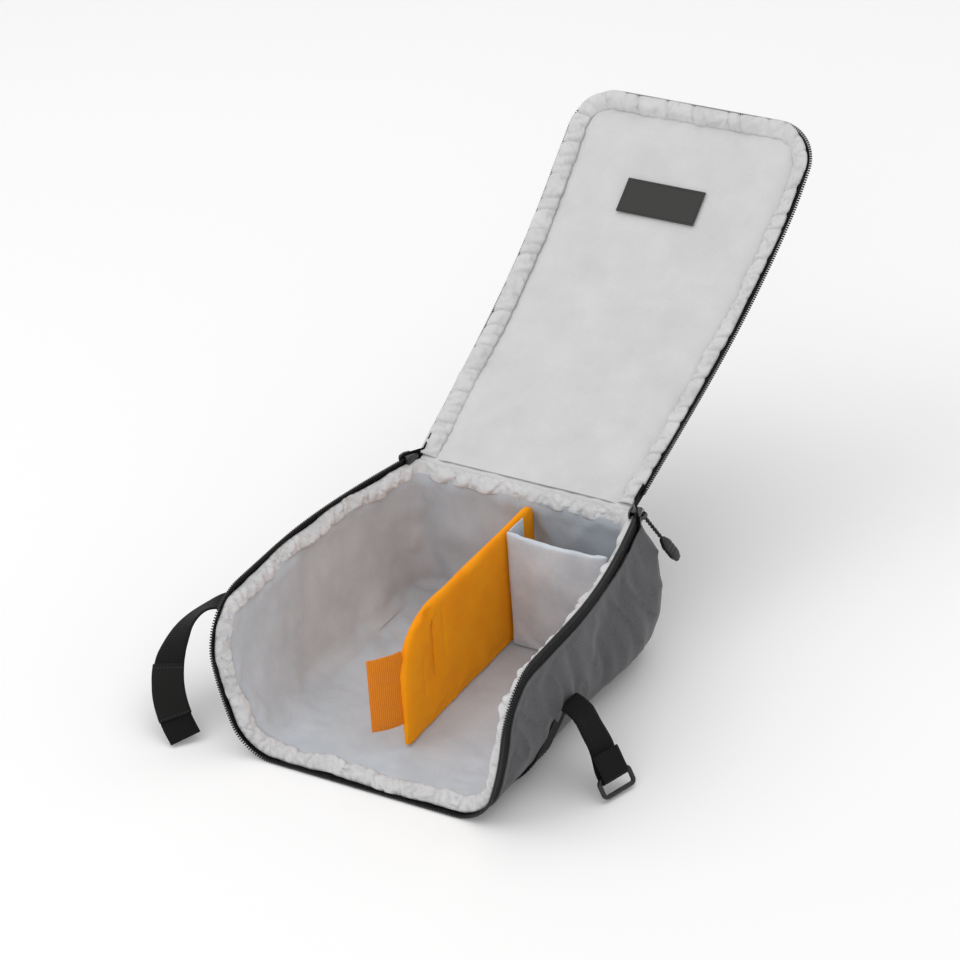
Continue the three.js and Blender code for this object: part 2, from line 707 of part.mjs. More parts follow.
// A rectangular ring of round wire, lying along the strap's direction.
const ringShape = new THREE.Shape();
const ringHalfWide = ringSlotWidth / 2 + ringWire;
const ringTop = ringWire / 2;
const ringFoot = -ringPitch - ringWire / 2;
ringShape.moveTo(-ringHalfWide, ringTop);
ringShape.lineTo(ringHalfWide, ringTop);
ringShape.lineTo(ringHalfWide, ringFoot);
ringShape.lineTo(-ringHalfWide, ringFoot);
const ringSlot = new THREE.Path();
ringSlot.moveTo(-ringSlotWidth / 2, -ringWire / 2);
ringSlot.lineTo(-ringSlotWidth / 2, -ringPitch + ringWire / 2);
ringSlot.lineTo(ringSlotWidth / 2, -ringPitch + ringWire / 2);
ringSlot.lineTo(ringSlotWidth / 2, -ringWire / 2);
ringShape.holes.push(ringSlot);
const ringGeometry = new THREE.ExtrudeGeometry(ringShape, { depth: ringWire, bevelEnabled: false });
ringGeometry.translate(0, 0, -ringWire / 2);
const ringUp = ringDown.clone().negate();
const ringBasis = new THREE.Matrix4().makeBasis(ringAcross, ringUp, ringAcross.clone().cross(ringUp));
const ring = add("strap_ring", ringGeometry, materials.plastic);
ring.setRotationFromMatrix(ringBasis);
ring.position.copy(ringBar);

// ---- Zip sliders and pulls ----

// The slider's section, square to the zip: a top plate, a long outer plate and a short inner lip.
const sliderOuter = 2.3;
const sliderInner = -3.9;
const sliderTop = caseHeight + 0.8;
const sliderSkirt = caseHeight - 6.5;
const sliderLip = caseHeight - 1.7;

function sliderSection() {
  const shape = new THREE.Shape();
  shape.moveTo(sliderOuter, sliderSkirt);
  shape.lineTo(sliderOuter + sliderPlate, sliderSkirt);
  shape.lineTo(sliderOuter + sliderPlate, sliderTop + sliderPlate);
  shape.lineTo(sliderInner - 1, sliderTop + sliderPlate);
  shape.lineTo(sliderInner - 1, sliderLip);
  shape.lineTo(sliderInner, sliderLip);
  shape.lineTo(sliderInner, sliderTop);
  shape.lineTo(sliderOuter, sliderTop);
  return shape;
}

const slideAngle = Math.atan(sliderPathSlope);
const pullTilt = 28;
const pullPivotOut = sliderOuter + sliderPlate + gap + pullCordRadius;
const pullPivotZ = caseHeight - 3;

for (const { word, sign } of sides) {
  const frame = new THREE.Group();
  frame.position.set(sign * sliderX, sliderY, 0);
  frame.rotation.z = sign * slideAngle;
  frame.scale.x = sign;
  group.add(frame);

  const body = new THREE.ExtrudeGeometry(sliderSection(), { depth: sliderLength, bevelEnabled: false });
  body.rotateX(quarter);
  body.translate(0, sliderLength / 2, 0);
  frame.add(add(`${word}_slider`, body, materials.metal));

  // The pull hangs from the slider's outer plate, tilted out and back by its stiff cord.
  const pull = new THREE.Group();
  pull.position.set(pullPivotOut, 0, pullPivotZ);
  pull.rotation.set(degToRad(14), degToRad(-pullTilt), 0);
  frame.add(pull);
  const cord = new THREE.CylinderGeometry(pullCordRadius, pullCordRadius, pullCordLength, 10);
  cord.rotateX(quarter);
  cord.translate(0, 0, -pullCordLength / 2);
  pull.add(add(`${word}_pull_cord`, cord, materials.webbing));

  const grip = new THREE.Shape();
  grip.moveTo(-pullGripWidth / 4, 0);
  grip.lineTo(pullGripWidth / 4, 0);
  grip.lineTo(pullGripWidth / 2, -pullGripLength * 0.3);
  grip.lineTo(pullGripWidth / 2, -pullGripLength * 0.75);
  grip.lineTo(pullGripWidth / 4, -pullGripLength);
  grip.lineTo(-pullGripWidth / 4, -pullGripLength);
  grip.lineTo(-pullGripWidth / 2, -pullGripLength * 0.75);
  grip.lineTo(-pullGripWidth / 2, -pullGripLength * 0.3);
  const gripGeometry = new THREE.ExtrudeGeometry(grip, { depth: pullGripThickness, bevelEnabled: false });
  gripGeometry.rotateX(quarter);
  gripGeometry.rotateZ(quarter);
  gripGeometry.translate(-pullGripThickness / 2, 0, -pullCordLength - gap);
  pull.add(add(`${word}_pull_grip`, gripGeometry, materials.plastic));
}

// ---- Dividers ----

function solidOf(geometry) {
  const bare = new THREE.BufferGeometry();
  const flat = geometry.index ? geometry.toNonIndexed() : geometry;
  bare.setAttribute("position", flat.getAttribute("position"));
  const merged = mergeVertices(bare, 1e-4);
  const vertProperties = merged.attributes.position.array;
  const triVerts = new Uint32Array(merged.index.array);
  return new wasm.Manifold(new wasm.Mesh({ numProp: 3, vertProperties, triVerts }));
}

function geometryOf(solid) {
  const mesh = solid.getMesh();
  const geometry = new THREE.BufferGeometry();
  geometry.setAttribute("position", new THREE.BufferAttribute(mesh.vertProperties, mesh.numProp));
  geometry.setIndex(new THREE.BufferAttribute(mesh.triVerts, 1));
  return geometry;
}

// A board cut from an outline, with its padded cover round it, open along the bottom seam.
function coveredBoard(outline, thickness, cover, place) {
  const outerShape = new THREE.Shape(outline(0));
  const outer = new THREE.ExtrudeGeometry(outerShape, { depth: thickness, bevelEnabled: false });
  const coreThickness = thickness - 2 * cover - 2 * gap;
  const board = (inset, drop, depth) => {
    const lowered = (p) => new THREE.Vector2(p.x, Math.abs(p.y - inset) < 1e-6 ? drop : p.y);
    const shape = new THREE.Shape(outline(inset).map(lowered));
    const geometry = new THREE.ExtrudeGeometry(shape, { depth, bevelEnabled: false });
    return geometry.translate(0, 0, (thickness - depth) / 2);
  };
  const pocket = board(cover, -1, coreThickness + 2 * gap);
  const coverGeometry = geometryOf(solidOf(outer).subtract(solidOf(pocket)));
  const coreGeometry = board(cover + gap, cover + gap, coreThickness);
  return [place(coverGeometry), place(coreGeometry)];
}

const dividerFloorZ = wallThickness + floorClearance;
const dividerHeight = dividerTopZ - dividerFloorZ;
const dividerLength = halfDepth - wallThickness - dividerBackClearance - dividerFrontY;

// Long divider, drawn with its front bottom corner at the outline's origin. Its lower back corner is rounded
// to sit in the rounded edge of the back wall.
const dividerHeelRadius = backBaseRadius - wallThickness + 4;
function dividerOutline(inset) {
  const front = dividerFrontRadius;
  const heel = dividerHeelRadius;
  const end = dividerLength - inset;
  return [
    new THREE.Vector2(inset, inset),
    ...arcPoints(front, dividerHeight - front, front - inset, 180, 90, 6),
    new THREE.Vector2(end, dividerHeight - inset),
    ...arcPoints(dividerLength - heel, heel, heel - inset, 0, -90, 4),
  ].reverse();
}

const placeDivider = (geometry) => {
  const basis = new THREE.Matrix4().makeBasis(vector(0, 1, 0), up, vector(1, 0, 0));
  basis.setPosition(dividerX - dividerThickness / 2, dividerFrontY, dividerFloorZ);
  return geometry.applyMatrix4(basis);
};
const dividerBoard = coveredBoard(dividerOutline, dividerThickness, dividerCoverThickness, placeDivider);
add("long_divider_cover", dividerBoard[0], materials.divider);
add("long_divider_core", dividerBoard[1], materials.foam);

// Hook-and-loop tab on the long divider's front edge, splayed to the left.
const tab = new THREE.BoxGeometry(tabThickness, tabLength, tabHighZ - tabLowZ);
tab.translate(0, -tabLength / 2 - tabThickness / 2 - gap, (tabHighZ + tabLowZ) / 2);
const tabMesh = add("divider_tab", tab, materials.divider);
tabMesh.position.set(dividerX - dividerThickness / 2, dividerFrontY - gap, 0);
tabMesh.rotation.z = -degToRad(tabSplay);

// Cross divider, from the long divider to the right wall's lining, drawn in X and Z.
const crossLeft = dividerX + dividerThickness / 2 + 1;
const crossFloorZ = dividerFloorZ;
function crossOutline(inset) {
  const clearance = wallThickness + crossDividerWallClearance + inset;
  const low = [-0.75, -0.5, -0.25].map((level) => stationPoint({ y: crossDividerY }, level, clearance));
  const wallLevels = steps(backBaseRadius + 6, dividerTopZ - inset, 3);
  const high = wallLevels.map((level) => stationPoint({ y: crossDividerY }, level, clearance));
  const edge = [...low, ...high].filter((p) => p.z - crossFloorZ > inset + 0.5);
  const top = dividerTopZ - inset;
  const points = edge.map((p) => new THREE.Vector2(p.x - crossLeft, Math.min(p.z, top) - crossFloorZ));
  const heel = stationPoint({ y: crossDividerY }, -0.85, clearance);
  const footX = heel.x - crossLeft - crossDividerHeelClearance;
  return [
    new THREE.Vector2(inset, inset),
    new THREE.Vector2(footX, inset),
    ...points,
    new THREE.Vector2(inset, dividerHeight - inset),
  ];
}

const placeCross = (geometry) => {
  const basis = new THREE.Matrix4().makeBasis(vector(1, 0, 0), up, vector(0, -1, 0));
  basis.setPosition(crossLeft, crossDividerY + crossDividerThickness / 2, crossFloorZ);
  return geometry.applyMatrix4(basis);
};
const crossCoverThickness = 0.8;
const crossBoard = coveredBoard(crossOutline, crossDividerThickness, crossCoverThickness, placeCross);
add("cross_divider_cover", crossBoard[0], materials.satin);
add("cross_divider_core", crossBoard[1], materials.foam);

// Hook-and-loop flaps that fold back from the cross divider's two ends.
const flapLowZ = crossFloorZ + 14;
const flapHighZ = dividerTopZ - 3;
const flapStartY = crossDividerY + crossDividerThickness / 2 + gap;
const flapRoot = crossLeft + crossFlapThickness / 2;
const leftFlap = new THREE.BoxGeometry(crossFlapThickness, crossFlapLength, flapHighZ - flapLowZ);
leftFlap.translate(flapRoot, flapStartY + crossFlapLength / 2, (flapHighZ + flapLowZ) / 2);
add("cross_flap_left", leftFlap, materials.satin);

const rightFlapY = flapStartY + 3;
const rightFlapGrid = (depth) =>
  steps(rightFlapY, rightFlapY + crossFlapLength, 2).map((y) =>
    steps(flapLowZ + 8, flapHighZ, 3).map((z) => stationPoint({ y }, z, depth)),
  );
const rightFlapNear = wallThickness + crossDividerWallClearance;
const rightFlap = slab(rightFlapGrid(rightFlapNear), rightFlapGrid(rightFlapNear + crossFlapThickness));
add("cross_flap_right", rightFlap, materials.satin);

export default group;
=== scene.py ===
# A padded drone carrying case of woven fabric with a brushed lining, a coil zip round its mouth and lid,
# webbing straps and padded dividers. Lengths are in millimetres until a mesh is made: +X is the case's
# right, -Y its open front and +Z up.
import math

import bmesh
import bpy
import numpy as np
from mathutils import Matrix, Vector, noise


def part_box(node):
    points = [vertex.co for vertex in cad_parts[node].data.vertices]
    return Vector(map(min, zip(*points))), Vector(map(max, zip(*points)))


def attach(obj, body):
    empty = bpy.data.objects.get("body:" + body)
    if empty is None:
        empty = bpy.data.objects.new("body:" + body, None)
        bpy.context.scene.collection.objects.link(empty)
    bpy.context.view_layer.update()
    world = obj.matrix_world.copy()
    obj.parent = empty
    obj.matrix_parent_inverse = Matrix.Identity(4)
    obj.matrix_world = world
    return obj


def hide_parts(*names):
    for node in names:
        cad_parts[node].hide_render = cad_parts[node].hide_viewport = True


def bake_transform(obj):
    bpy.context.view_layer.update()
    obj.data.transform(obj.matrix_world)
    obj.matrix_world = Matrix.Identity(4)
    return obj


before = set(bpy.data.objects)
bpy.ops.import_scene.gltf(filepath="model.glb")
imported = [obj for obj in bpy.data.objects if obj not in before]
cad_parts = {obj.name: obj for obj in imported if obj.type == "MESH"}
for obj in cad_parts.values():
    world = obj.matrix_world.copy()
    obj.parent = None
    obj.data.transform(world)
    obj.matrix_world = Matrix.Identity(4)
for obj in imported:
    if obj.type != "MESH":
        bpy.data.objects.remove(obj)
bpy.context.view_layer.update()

MM = 0.001


# ---- Camera, light and floor ----

CAMERA_AZIMUTH = math.radians(31.44)
CAMERA_ELEVATION = math.radians(30.99)
CAMERA_ROLL = math.radians(-3.7)
CAMERA_DISTANCE = 2.8901
CAMERA_TARGET = Vector((-0.13508, 0.28384, 0))
CAMERA_LENS = 131.7


def set_camera():
    level = math.cos(CAMERA_ELEVATION)
    sine, cosine = math.sin(CAMERA_AZIMUTH), math.cos(CAMERA_AZIMUTH)
    back = Vector((sine * level, -cosine * level, math.sin(CAMERA_ELEVATION)))
    right = Vector((cosine, sine, 0))
    upward = back.cross(right)
    turn = Matrix((right, upward, back)).transposed().to_4x4()
    data = bpy.data.cameras.new("camera")
    data.lens = CAMERA_LENS
    data.clip_end = 50
    camera = bpy.data.objects.new("camera", data)
    place = Matrix.Translation(CAMERA_TARGET + back * CAMERA_DISTANCE)
    camera.matrix_world = place @ turn @ Matrix.Rotation(CAMERA_ROLL, 4, "Z")
    bpy.context.collection.objects.link(camera)
    bpy.context.scene.camera = camera


def softbox(name, position, target, size, power):
    data = bpy.data.lights.new(name, "AREA")
    data.shape = "SQUARE"
    data.size = size
    data.energy = power
    light = bpy.data.objects.new(name, data)
    light.location = position
    light.rotation_euler = (Vector(target) - Vector(position)).to_track_quat("-Z", "Y").to_euler()
    bpy.context.collection.objects.link(light)


def linear(hex_colour):
    channels = [int(hex_colour[i : i + 2], 16) / 255 for i in (1, 3, 5)]
    low_part, power, offset = 0.04045, 2.4, 0.055
    turned = [c / 12.92 if c <= low_part else ((c + offset) / (1 + offset)) ** power for c in channels]
    return (*turned, 1)


def set_studio():
    scene = bpy.context.scene
    scene.view_settings.view_transform = "Standard"
    world = bpy.data.worlds.new("studio")
    world.use_nodes = True
    world.node_tree.nodes["Background"].inputs["Color"].default_value = (1, 1, 1, 1)
    world.node_tree.nodes["Background"].inputs["Strength"].default_value = 0.68
    scene.world = world
    middle = (0, 0.1, 0.1)
    softbox("key_softbox", (-1.5, -0.9, 2.2), middle, 2.1, 15)
    softbox("front_softbox", (1.0, -2.2, 1.2), middle, 1.6, 8)
    softbox("top_softbox", (0.2, 0.9, 2.6), middle, 2.4, 15)


# ---- The body's surface ----

BASE_WIDTH = 200
CASE_DEPTH = 256
CASE_HEIGHT = 120
MOUTH_RADIUS = 45
MOUTH_FLARE = 24
HINGE_NARROWING = 2
FLARE_REACH = 161
FLARE_CURVE = 2.2
BACK_BULGE = 3
FRONT_BASE_RADIUS = 24
BACK_BASE_RADIUS = 18
BACK_CORNER_LOW = 24
BACK_CORNER_HIGH = 12
WALL_THICKNESS = 8.8

HALF_DEPTH = CASE_DEPTH / 2
QUARTER = math.pi / 2
MOUTH_CENTRE_Y = MOUTH_RADIUS - HALF_DEPTH
MOUTH_CENTRE_Z = CASE_HEIGHT - MOUTH_RADIUS
MOUTH_LENGTH = CASE_DEPTH - MOUTH_RADIUS + QUARTER * MOUTH_RADIUS + MOUTH_CENTRE_Z


def smooth(value):
    t = np.clip(value, 0, 1)
    return t * t * (3 - 2 * t)


def unit(vectors):
    return vectors / np.maximum(np.linalg.norm(vectors, axis=-1, keepdims=True), 1e-12)


def points_of(x, y, z):
    return np.stack(np.broadcast_arrays(x, y, z), -1).astype(float)


def wall_x(y, z):
    reach = np.clip((HALF_DEPTH - y) / FLARE_REACH, 0, 1)
    height = np.clip(z / CASE_HEIGHT, 0, 1)
    lean = (MOUTH_FLARE + HINGE_NARROWING) * np.sin(reach * QUARTER) - HINGE_NARROWING
    rise = 1 - (1 - height) ** FLARE_CURVE
    bulge = BACK_BULGE * (1 - reach) * np.sin(math.pi * height) ** 2
    return BASE_WIDTH / 2 + lean * rise + bulge


def corner_radius(z):
    share = np.clip(z / CASE_HEIGHT, 0, 1)
    return BACK_CORNER_LOW + (BACK_CORNER_HIGH - BACK_CORNER_LOW) * share


def plan(along, z):
    """The right wall's plan at height z: along runs 0 to 1 down the side and 1 to 2 round the back corner."""
    radius = corner_radius(z)
    side_y = -HALF_DEPTH + along * (CASE_DEPTH - radius)
    corner_y = HALF_DEPTH - radius
    start_x = wall_x(corner_y, z)
    end_x = wall_x(HALF_DEPTH + 0 * z, z)
    angle = np.clip(along - 1, 0, 1) * QUARTER
    drawn_in = radius * (1 - np.cos(angle))
    turn_x = start_x + (end_x - start_x) * np.sin(angle) - drawn_in - np.maximum(along - 2, 0)
    turn_y = corner_y + radius * np.sin(angle)
    on_side = along <= 1
    return np.stack([np.where(on_side, wall_x(side_y, z), turn_x), np.where(on_side, side_y, turn_y)], -1)


def base_radius(along):
    return FRONT_BASE_RADIUS + (BACK_BASE_RADIUS - FRONT_BASE_RADIUS) * np.clip(along, 0, 1)


NUDGE = 0.004


def inward(along, z):
    tangent = unit(plan(along + NUDGE, z) - plan(along - NUDGE, z))
    return np.stack([-tangent[..., 1], tangent[..., 0]], -1)


def shell_point(along, level):
    """A level of 0 or more is a height on the wall. From -1 to 0 it runs round the bottom edge."""
    along, level = np.broadcast_arrays(np.asarray(along, float), np.asarray(level, float))
    wall = plan(along, np.maximum(level, 0))
    radius = base_radius(along)
    angle = (1 + np.minimum(level, 0)) * QUARTER
    top = plan(along, radius)
    slope = plan(along, radius + 1) - top
    edge = top - slope * radius[..., None]
    foot = edge + inward(along, radius) * radius[..., None]
    sine = np.sin(angle)[..., None]
    rest = (1 - np.cos(angle))[..., None]
    round_part = foot + (edge - foot) * sine + (top - edge) * rest
    flat = np.where((level >= 0)[..., None], wall, round_part)
    height = np.where(level >= 0, level, radius * (1 - np.cos(angle)))
    return np.concatenate([flat, height[..., None]], -1)


def shell_inside(along, level, depth):
    """The point at a depth below the outer surface, square to it."""
    along, level, depth = np.broadcast_arrays(*(np.asarray(v, float) for v in (along, level, depth)))
    radius = base_radius(along)
    low = np.where(level < 0, np.maximum(level - 0.02, -1), np.maximum(level - 0.5, radius))
    high = np.where(level < 0, np.minimum(level + 0.02, -1e-6), np.maximum(level, low) + 0.5)
    forward = shell_point(along + NUDGE, level) - shell_point(along - NUDGE, level)
    upward = shell_point(along, high) - shell_point(along, low)
    outward = unit(np.cross(forward, upward))
    return shell_point(along, level) - outward * depth[..., None]


def along_at(y, level):
    z = np.where(level < 0, base_radius((y + HALF_DEPTH) / CASE_DEPTH), level)
    return (y + HALF_DEPTH) / (CASE_DEPTH - corner_radius(z))


def mirrored(points):
    return points * np.array([-1, 1, 1])


# ---- The mouth's edge ----


def mouth_half(inset, depth, step=2.0):
    """The right half of the mouth's edge, from the middle of the back to the middle of the base's front."""

    def spread(first, last, length):
        return np.linspace(first, last, max(3, round(length / step)))[:-1]

    top = CASE_HEIGHT - inset
    corner = shell_inside(2.0, top, depth)
    back = corner * np.array([0, 1, 1]) + spread(0, 1, 86)[:, None] * corner * np.array([1, 0, 0])
    turn = shell_inside(spread(2, 1, 19), top, depth)
    level_y = spread(HALF_DEPTH - corner_radius(top), MOUTH_CENTRE_Y, 199)
    level_run = shell_inside(along_at(level_y, top), top, depth)
    angle = spread(0, QUARTER, QUARTER * MOUTH_RADIUS)
    reach = MOUTH_RADIUS - inset
    arc_y = MOUTH_CENTRE_Y - reach * np.sin(angle)
    arc_z = MOUTH_CENTRE_Z + reach * np.cos(angle)
    arc = shell_inside(along_at(arc_y, arc_z), arc_z, depth)
    front_y = inset - HALF_DEPTH
    front_z = spread(MOUTH_CENTRE_Z, FRONT_BASE_RADIUS, MOUTH_CENTRE_Z - FRONT_BASE_RADIUS)
    front = shell_inside(along_at(front_y, front_z), front_z, depth)
    low_level = spread(-1e-4, -1, QUARTER * FRONT_BASE_RADIUS)
    low_turn = shell_inside(along_at(front_y, low_level), low_level, depth)
    foot = shell_inside(along_at(front_y, -1.0), -1.0, depth)
    share = np.append(spread(1, 0, 76), 0.0)
    base = foot * np.array([0, 1, 1]) + share[:, None] * foot * np.array([1, 0, 0])
    return np.concatenate([back, turn, level_run, arc, front, low_turn, base])


def mouth_ring(inset, depth, step=2.0):
    """The whole edge as a closed loop, from the middle of the back by the right side to the front."""
    right = mouth_half(inset, depth, step)
    left = mirrored(right[::-1])[1:-1]
    return np.concatenate([right, left])


def run_lengths(line, closed=False):
    ends = np.roll(line, -1, axis=0) if closed else line[1:]
    starts = line if closed else line[:-1]
    return np.concatenate([[0], np.cumsum(np.linalg.norm(ends - starts, axis=1))])


def at_spots(line, lengths, spots):
    closing = np.concatenate([line, line[:1]]) if len(lengths) == len(line) + 1 else line
    return np.stack([np.interp(spots, lengths, closing[:, k]) for k in range(3)], -1)


# ---- The lid's surface ----

LID_HALF_HINGE = 94
LID_HALF_FRONT = 106
LID_WIDENING = 0.8
LID_CORNER = 36
LID_TILT = 23
LID_CURL = 25
LID_CURL_START = 69
LID_CURL_LENGTH = 380
LID_ROOT = 6
LID_ZIP_START = 16
TAPE_END = 4

LID_STEPS = np.arange(0, math.ceil(MOUTH_LENGTH) + 2)
LID_ANGLES = np.radians(LID_TILT + LID_CURL * smooth((LID_STEPS - 0.5 - LID_CURL_START) / LID_CURL_LENGTH))
LID_Y = HALF_DEPTH + np.concatenate([[0], np.cumsum(np.cos(LID_ANGLES[1:]))])
LID_Z = CASE_HEIGHT + np.concatenate([[0], np.cumsum(np.sin(LID_ANGLES[1:]))])
LID_CORNER_ALONG = MOUTH_LENGTH - LID_CORNER
LID_CORNER_ACROSS = LID_HALF_FRONT - LID_CORNER


def lid_point(along, across, depth):
    along, across, depth = np.broadcast_arrays(*(np.asarray(v, float) for v in (along, across, depth)))
    angle = np.interp(along, LID_STEPS, LID_ANGLES)
    y = np.interp(along, LID_STEPS, LID_Y) + depth * np.sin(angle)
    z = np.interp(along, LID_STEPS, LID_Z) - depth * np.cos(angle)
    return np.stack([across, y, z], -1)


def lid_reach(along, inset):
    share = np.clip(along / (MOUTH_LENGTH * LID_WIDENING), 0, 1)
    straight = LID_HALF_HINGE + (LID_HALF_FRONT - LID_HALF_HINGE) * share - inset
    reach = LID_CORNER - inset
    turn = LID_CORNER_ACROSS + np.sqrt(np.maximum(reach**2 - (along - LID_CORNER_ALONG) ** 2, 0))
    return np.where(along <= LID_CORNER_ALONG, straight, turn)


def lid_half(inset, depth, start=LID_ROOT, step=2.0):
    """The lid's right edge, from the hinge round the corner to the middle of its front."""
    rows = np.linspace(start, LID_CORNER_ALONG, round((LID_CORNER_ALONG - start) / step))[:-1]
    side = lid_point(rows, lid_reach(rows, inset), depth)
    angle = np.linspace(0, QUARTER, round(QUARTER * LID_CORNER / step))[:-1]
    reach = LID_CORNER - inset
    turn = lid_point(
        LID_CORNER_ALONG + reach * np.sin(angle), LID_CORNER_ACROSS + reach * np.cos(angle), depth
    )
    front = lid_point(
        MOUTH_LENGTH - inset, np.linspace(LID_CORNER_ACROSS, 0, round(LID_CORNER_ACROSS / step)), depth
    )
    return np.concatenate([side, turn, front])


def lid_edge(inset, depth, start=LID_ROOT, step=2.0):
    right = lid_half(inset, depth, start, step)
    return np.concatenate([right, mirrored(right[::-1])[1:]])


# ---- Making meshes ----


def quads(rows, columns, rows_closed=False, columns_closed=False):
    i, j = np.meshgrid(
        np.arange(rows if rows_closed else rows - 1),
        np.arange(columns if columns_closed else columns - 1),
        indexing="ij",
    )
    down, across = (i + 1) % rows, (j + 1) % columns
    faces = np.stack([i * columns + j, down * columns + j, down * columns + across, i * columns + across], -1)
    return faces.reshape(-1, 4)


def new_piece(name, points, faces, cloth=None):
    """Makes a mesh object. cloth gives each point's place on the flat cloth, in millimetres."""
    mesh = bpy.data.meshes.new(name)
    metres = np.asarray(points).reshape(-1, 3) * MM
    mesh.from_pydata(metres.tolist(), [], [list(map(int, f)) for f in faces])
    if cloth is not None:
        layer = mesh.uv_layers.new(name="cloth")
        corners = np.zeros(len(mesh.loops), np.int32)
        mesh.loops.foreach_get("vertex_index", corners)
        flat = np.asarray(cloth, float).reshape(-1, 2)[corners] * MM
        layer.data.foreach_set("uv", flat.ravel().astype(np.float32))
    piece = bpy.data.objects.new(name, mesh)
    bpy.context.collection.objects.link(piece)
    return piece


def grid_cloth(grid):
    """Flat places for a grid of points: along its rows' run and across its columns."""
    run = np.linalg.norm(np.diff(grid, axis=0), axis=2).mean(axis=1)
    width = np.linalg.norm(np.diff(grid, axis=1), axis=2).mean(axis=0)
    u = np.concatenate([[0], np.cumsum(run)])
    v = np.concatenate([[0], np.cumsum(width)])
    return np.stack(np.meshgrid(u, v, indexing="ij"), -1)


def grid_piece(name, grid, rows_closed=False, columns_closed=False):
    rows, columns = grid.shape[:2]
    faces = quads(rows, columns, rows_closed, columns_closed)
    return new_piece(name, grid, faces, grid_cloth(grid))


def tube_piece(name, grid, rows_closed=False):
    """A closed form from a run of closed sections, with its two ends filled in."""
    rows, columns = grid.shape[:2]
    faces = quads(rows, columns, rows_closed, True).tolist()
    if not rows_closed:
        faces.append(list(range(columns))[::-1])
        faces.append([(rows - 1) * columns + j for j in range(columns)])
    return new_piece(name, grid, faces, grid_cloth(grid))


def edit(piece, *works):
    """Runs bmesh work on a piece's mesh."""
    form = bmesh.new()
    form.from_mesh(piece.data)
    for work in works:
        work(form)
    form.to_mesh(piece.data)
    form.free()
    piece.data.update()


def face_outwards(form):
    bmesh.ops.recalc_face_normals(form, faces=form.faces)


def weld(form):
    bmesh.ops.remove_doubles(form, verts=form.verts, dist=0.02 * MM)


def with_modifier(piece, kind, **settings):
    """Adds a modifier and keeps its result as the piece's mesh."""
    modifier = piece.modifiers.new(kind.lower(), kind)
    for key, value in settings.items():
        setattr(modifier, key, value)
    shown = piece.evaluated_get(bpy.context.evaluated_depsgraph_get())
    mesh = bpy.data.meshes.new_from_object(shown)
    piece.modifiers.clear()
    piece.data = mesh
    return piece


def thicken(piece, thickness, offset=0.0):
    edit(piece, face_outwards)
    with_modifier(piece, "SOLIDIFY", thickness=thickness * MM, offset=offset)
    edit(piece, face_outwards)


def joined(name, pieces):
    """One piece from several that are made the same way."""
    form = bmesh.new()
    for piece in pieces:
        form.from_mesh(piece.data)
    mesh = bpy.data.meshes.new(name)
    form.to_mesh(mesh)
    form.free()
    for piece in pieces:
        bpy.data.objects.remove(piece)
    whole = bpy.data.objects.new(name, mesh)
    bpy.context.collection.objects.link(whole)
    return whole


SHARP_ANGLE = math.radians(48)


def finish_piece(piece, material, body, replaced=(), smooth_all=False):
    piece.data.materials.clear()
    piece.data.materials.append(material)
    piece.data.shade_smooth()
    if not smooth_all:
        piece.data.set_sharp_from_angle(angle=SHARP_ANGLE)
    if body:
        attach(piece, body)
    if replaced:
        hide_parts(*replaced)
    return piece


def places(piece):
    flat = np.zeros(len(piece.data.vertices) * 3, np.float32)
    piece.data.vertices.foreach_get("co", flat)
    return flat.reshape(-1, 3).astype(float) / MM


def set_places(piece, points):
    piece.data.vertices.foreach_set("co", (points * MM).astype(np.float32).ravel())
    piece.data.update()


def normals_of(piece):
    flat = np.zeros(len(piece.data.vertices) * 3, np.float32)
    piece.data.vertices.foreach_get("normal", flat)
    return flat.reshape(-1, 3).astype(float)


def ripple(points, wave, seed):
    """Smooth noise from about -1 to 1 at each point. wave is its size along x, y and z."""
    scaled = np.asarray(points, float).reshape(-1, 3) / np.asarray(wave, float) + seed * 17.3
    return np.array([noise.noise(Vector(p)) for p in scaled]) * 1.6


def ripple_run(run, across, wave, seed):
    """Noise along a strip: run and across are in millimetres."""
    points = points_of(run, across, 0.0).reshape(-1, 3)
    return ripple(points, (wave[0], wave[1], 1), seed).reshape(np.broadcast(run, across).shape)


def pinches(run, spacing, seed):
    """How strongly a gathered strip is pinched at each place along it: 1 at a pinch and 0 between them."""
    jitter = np.random.default_rng(seed)
    spots = np.arange(spacing / 2, float(np.max(run)), spacing)
    spots = spots + jitter.uniform(-0.38, 0.38, len(spots)) * spacing
    depths = jitter.uniform(0.35, 1.0, len(spots))
    widths = jitter.uniform(1.5, 3.0, len(spots))
    gaps = (run[..., None] - spots) / widths
    return np.max(depths * np.exp(-(gaps**2)), axis=-1)


# ---- Cloth that settles ----

SETTLE_FRAMES = 20


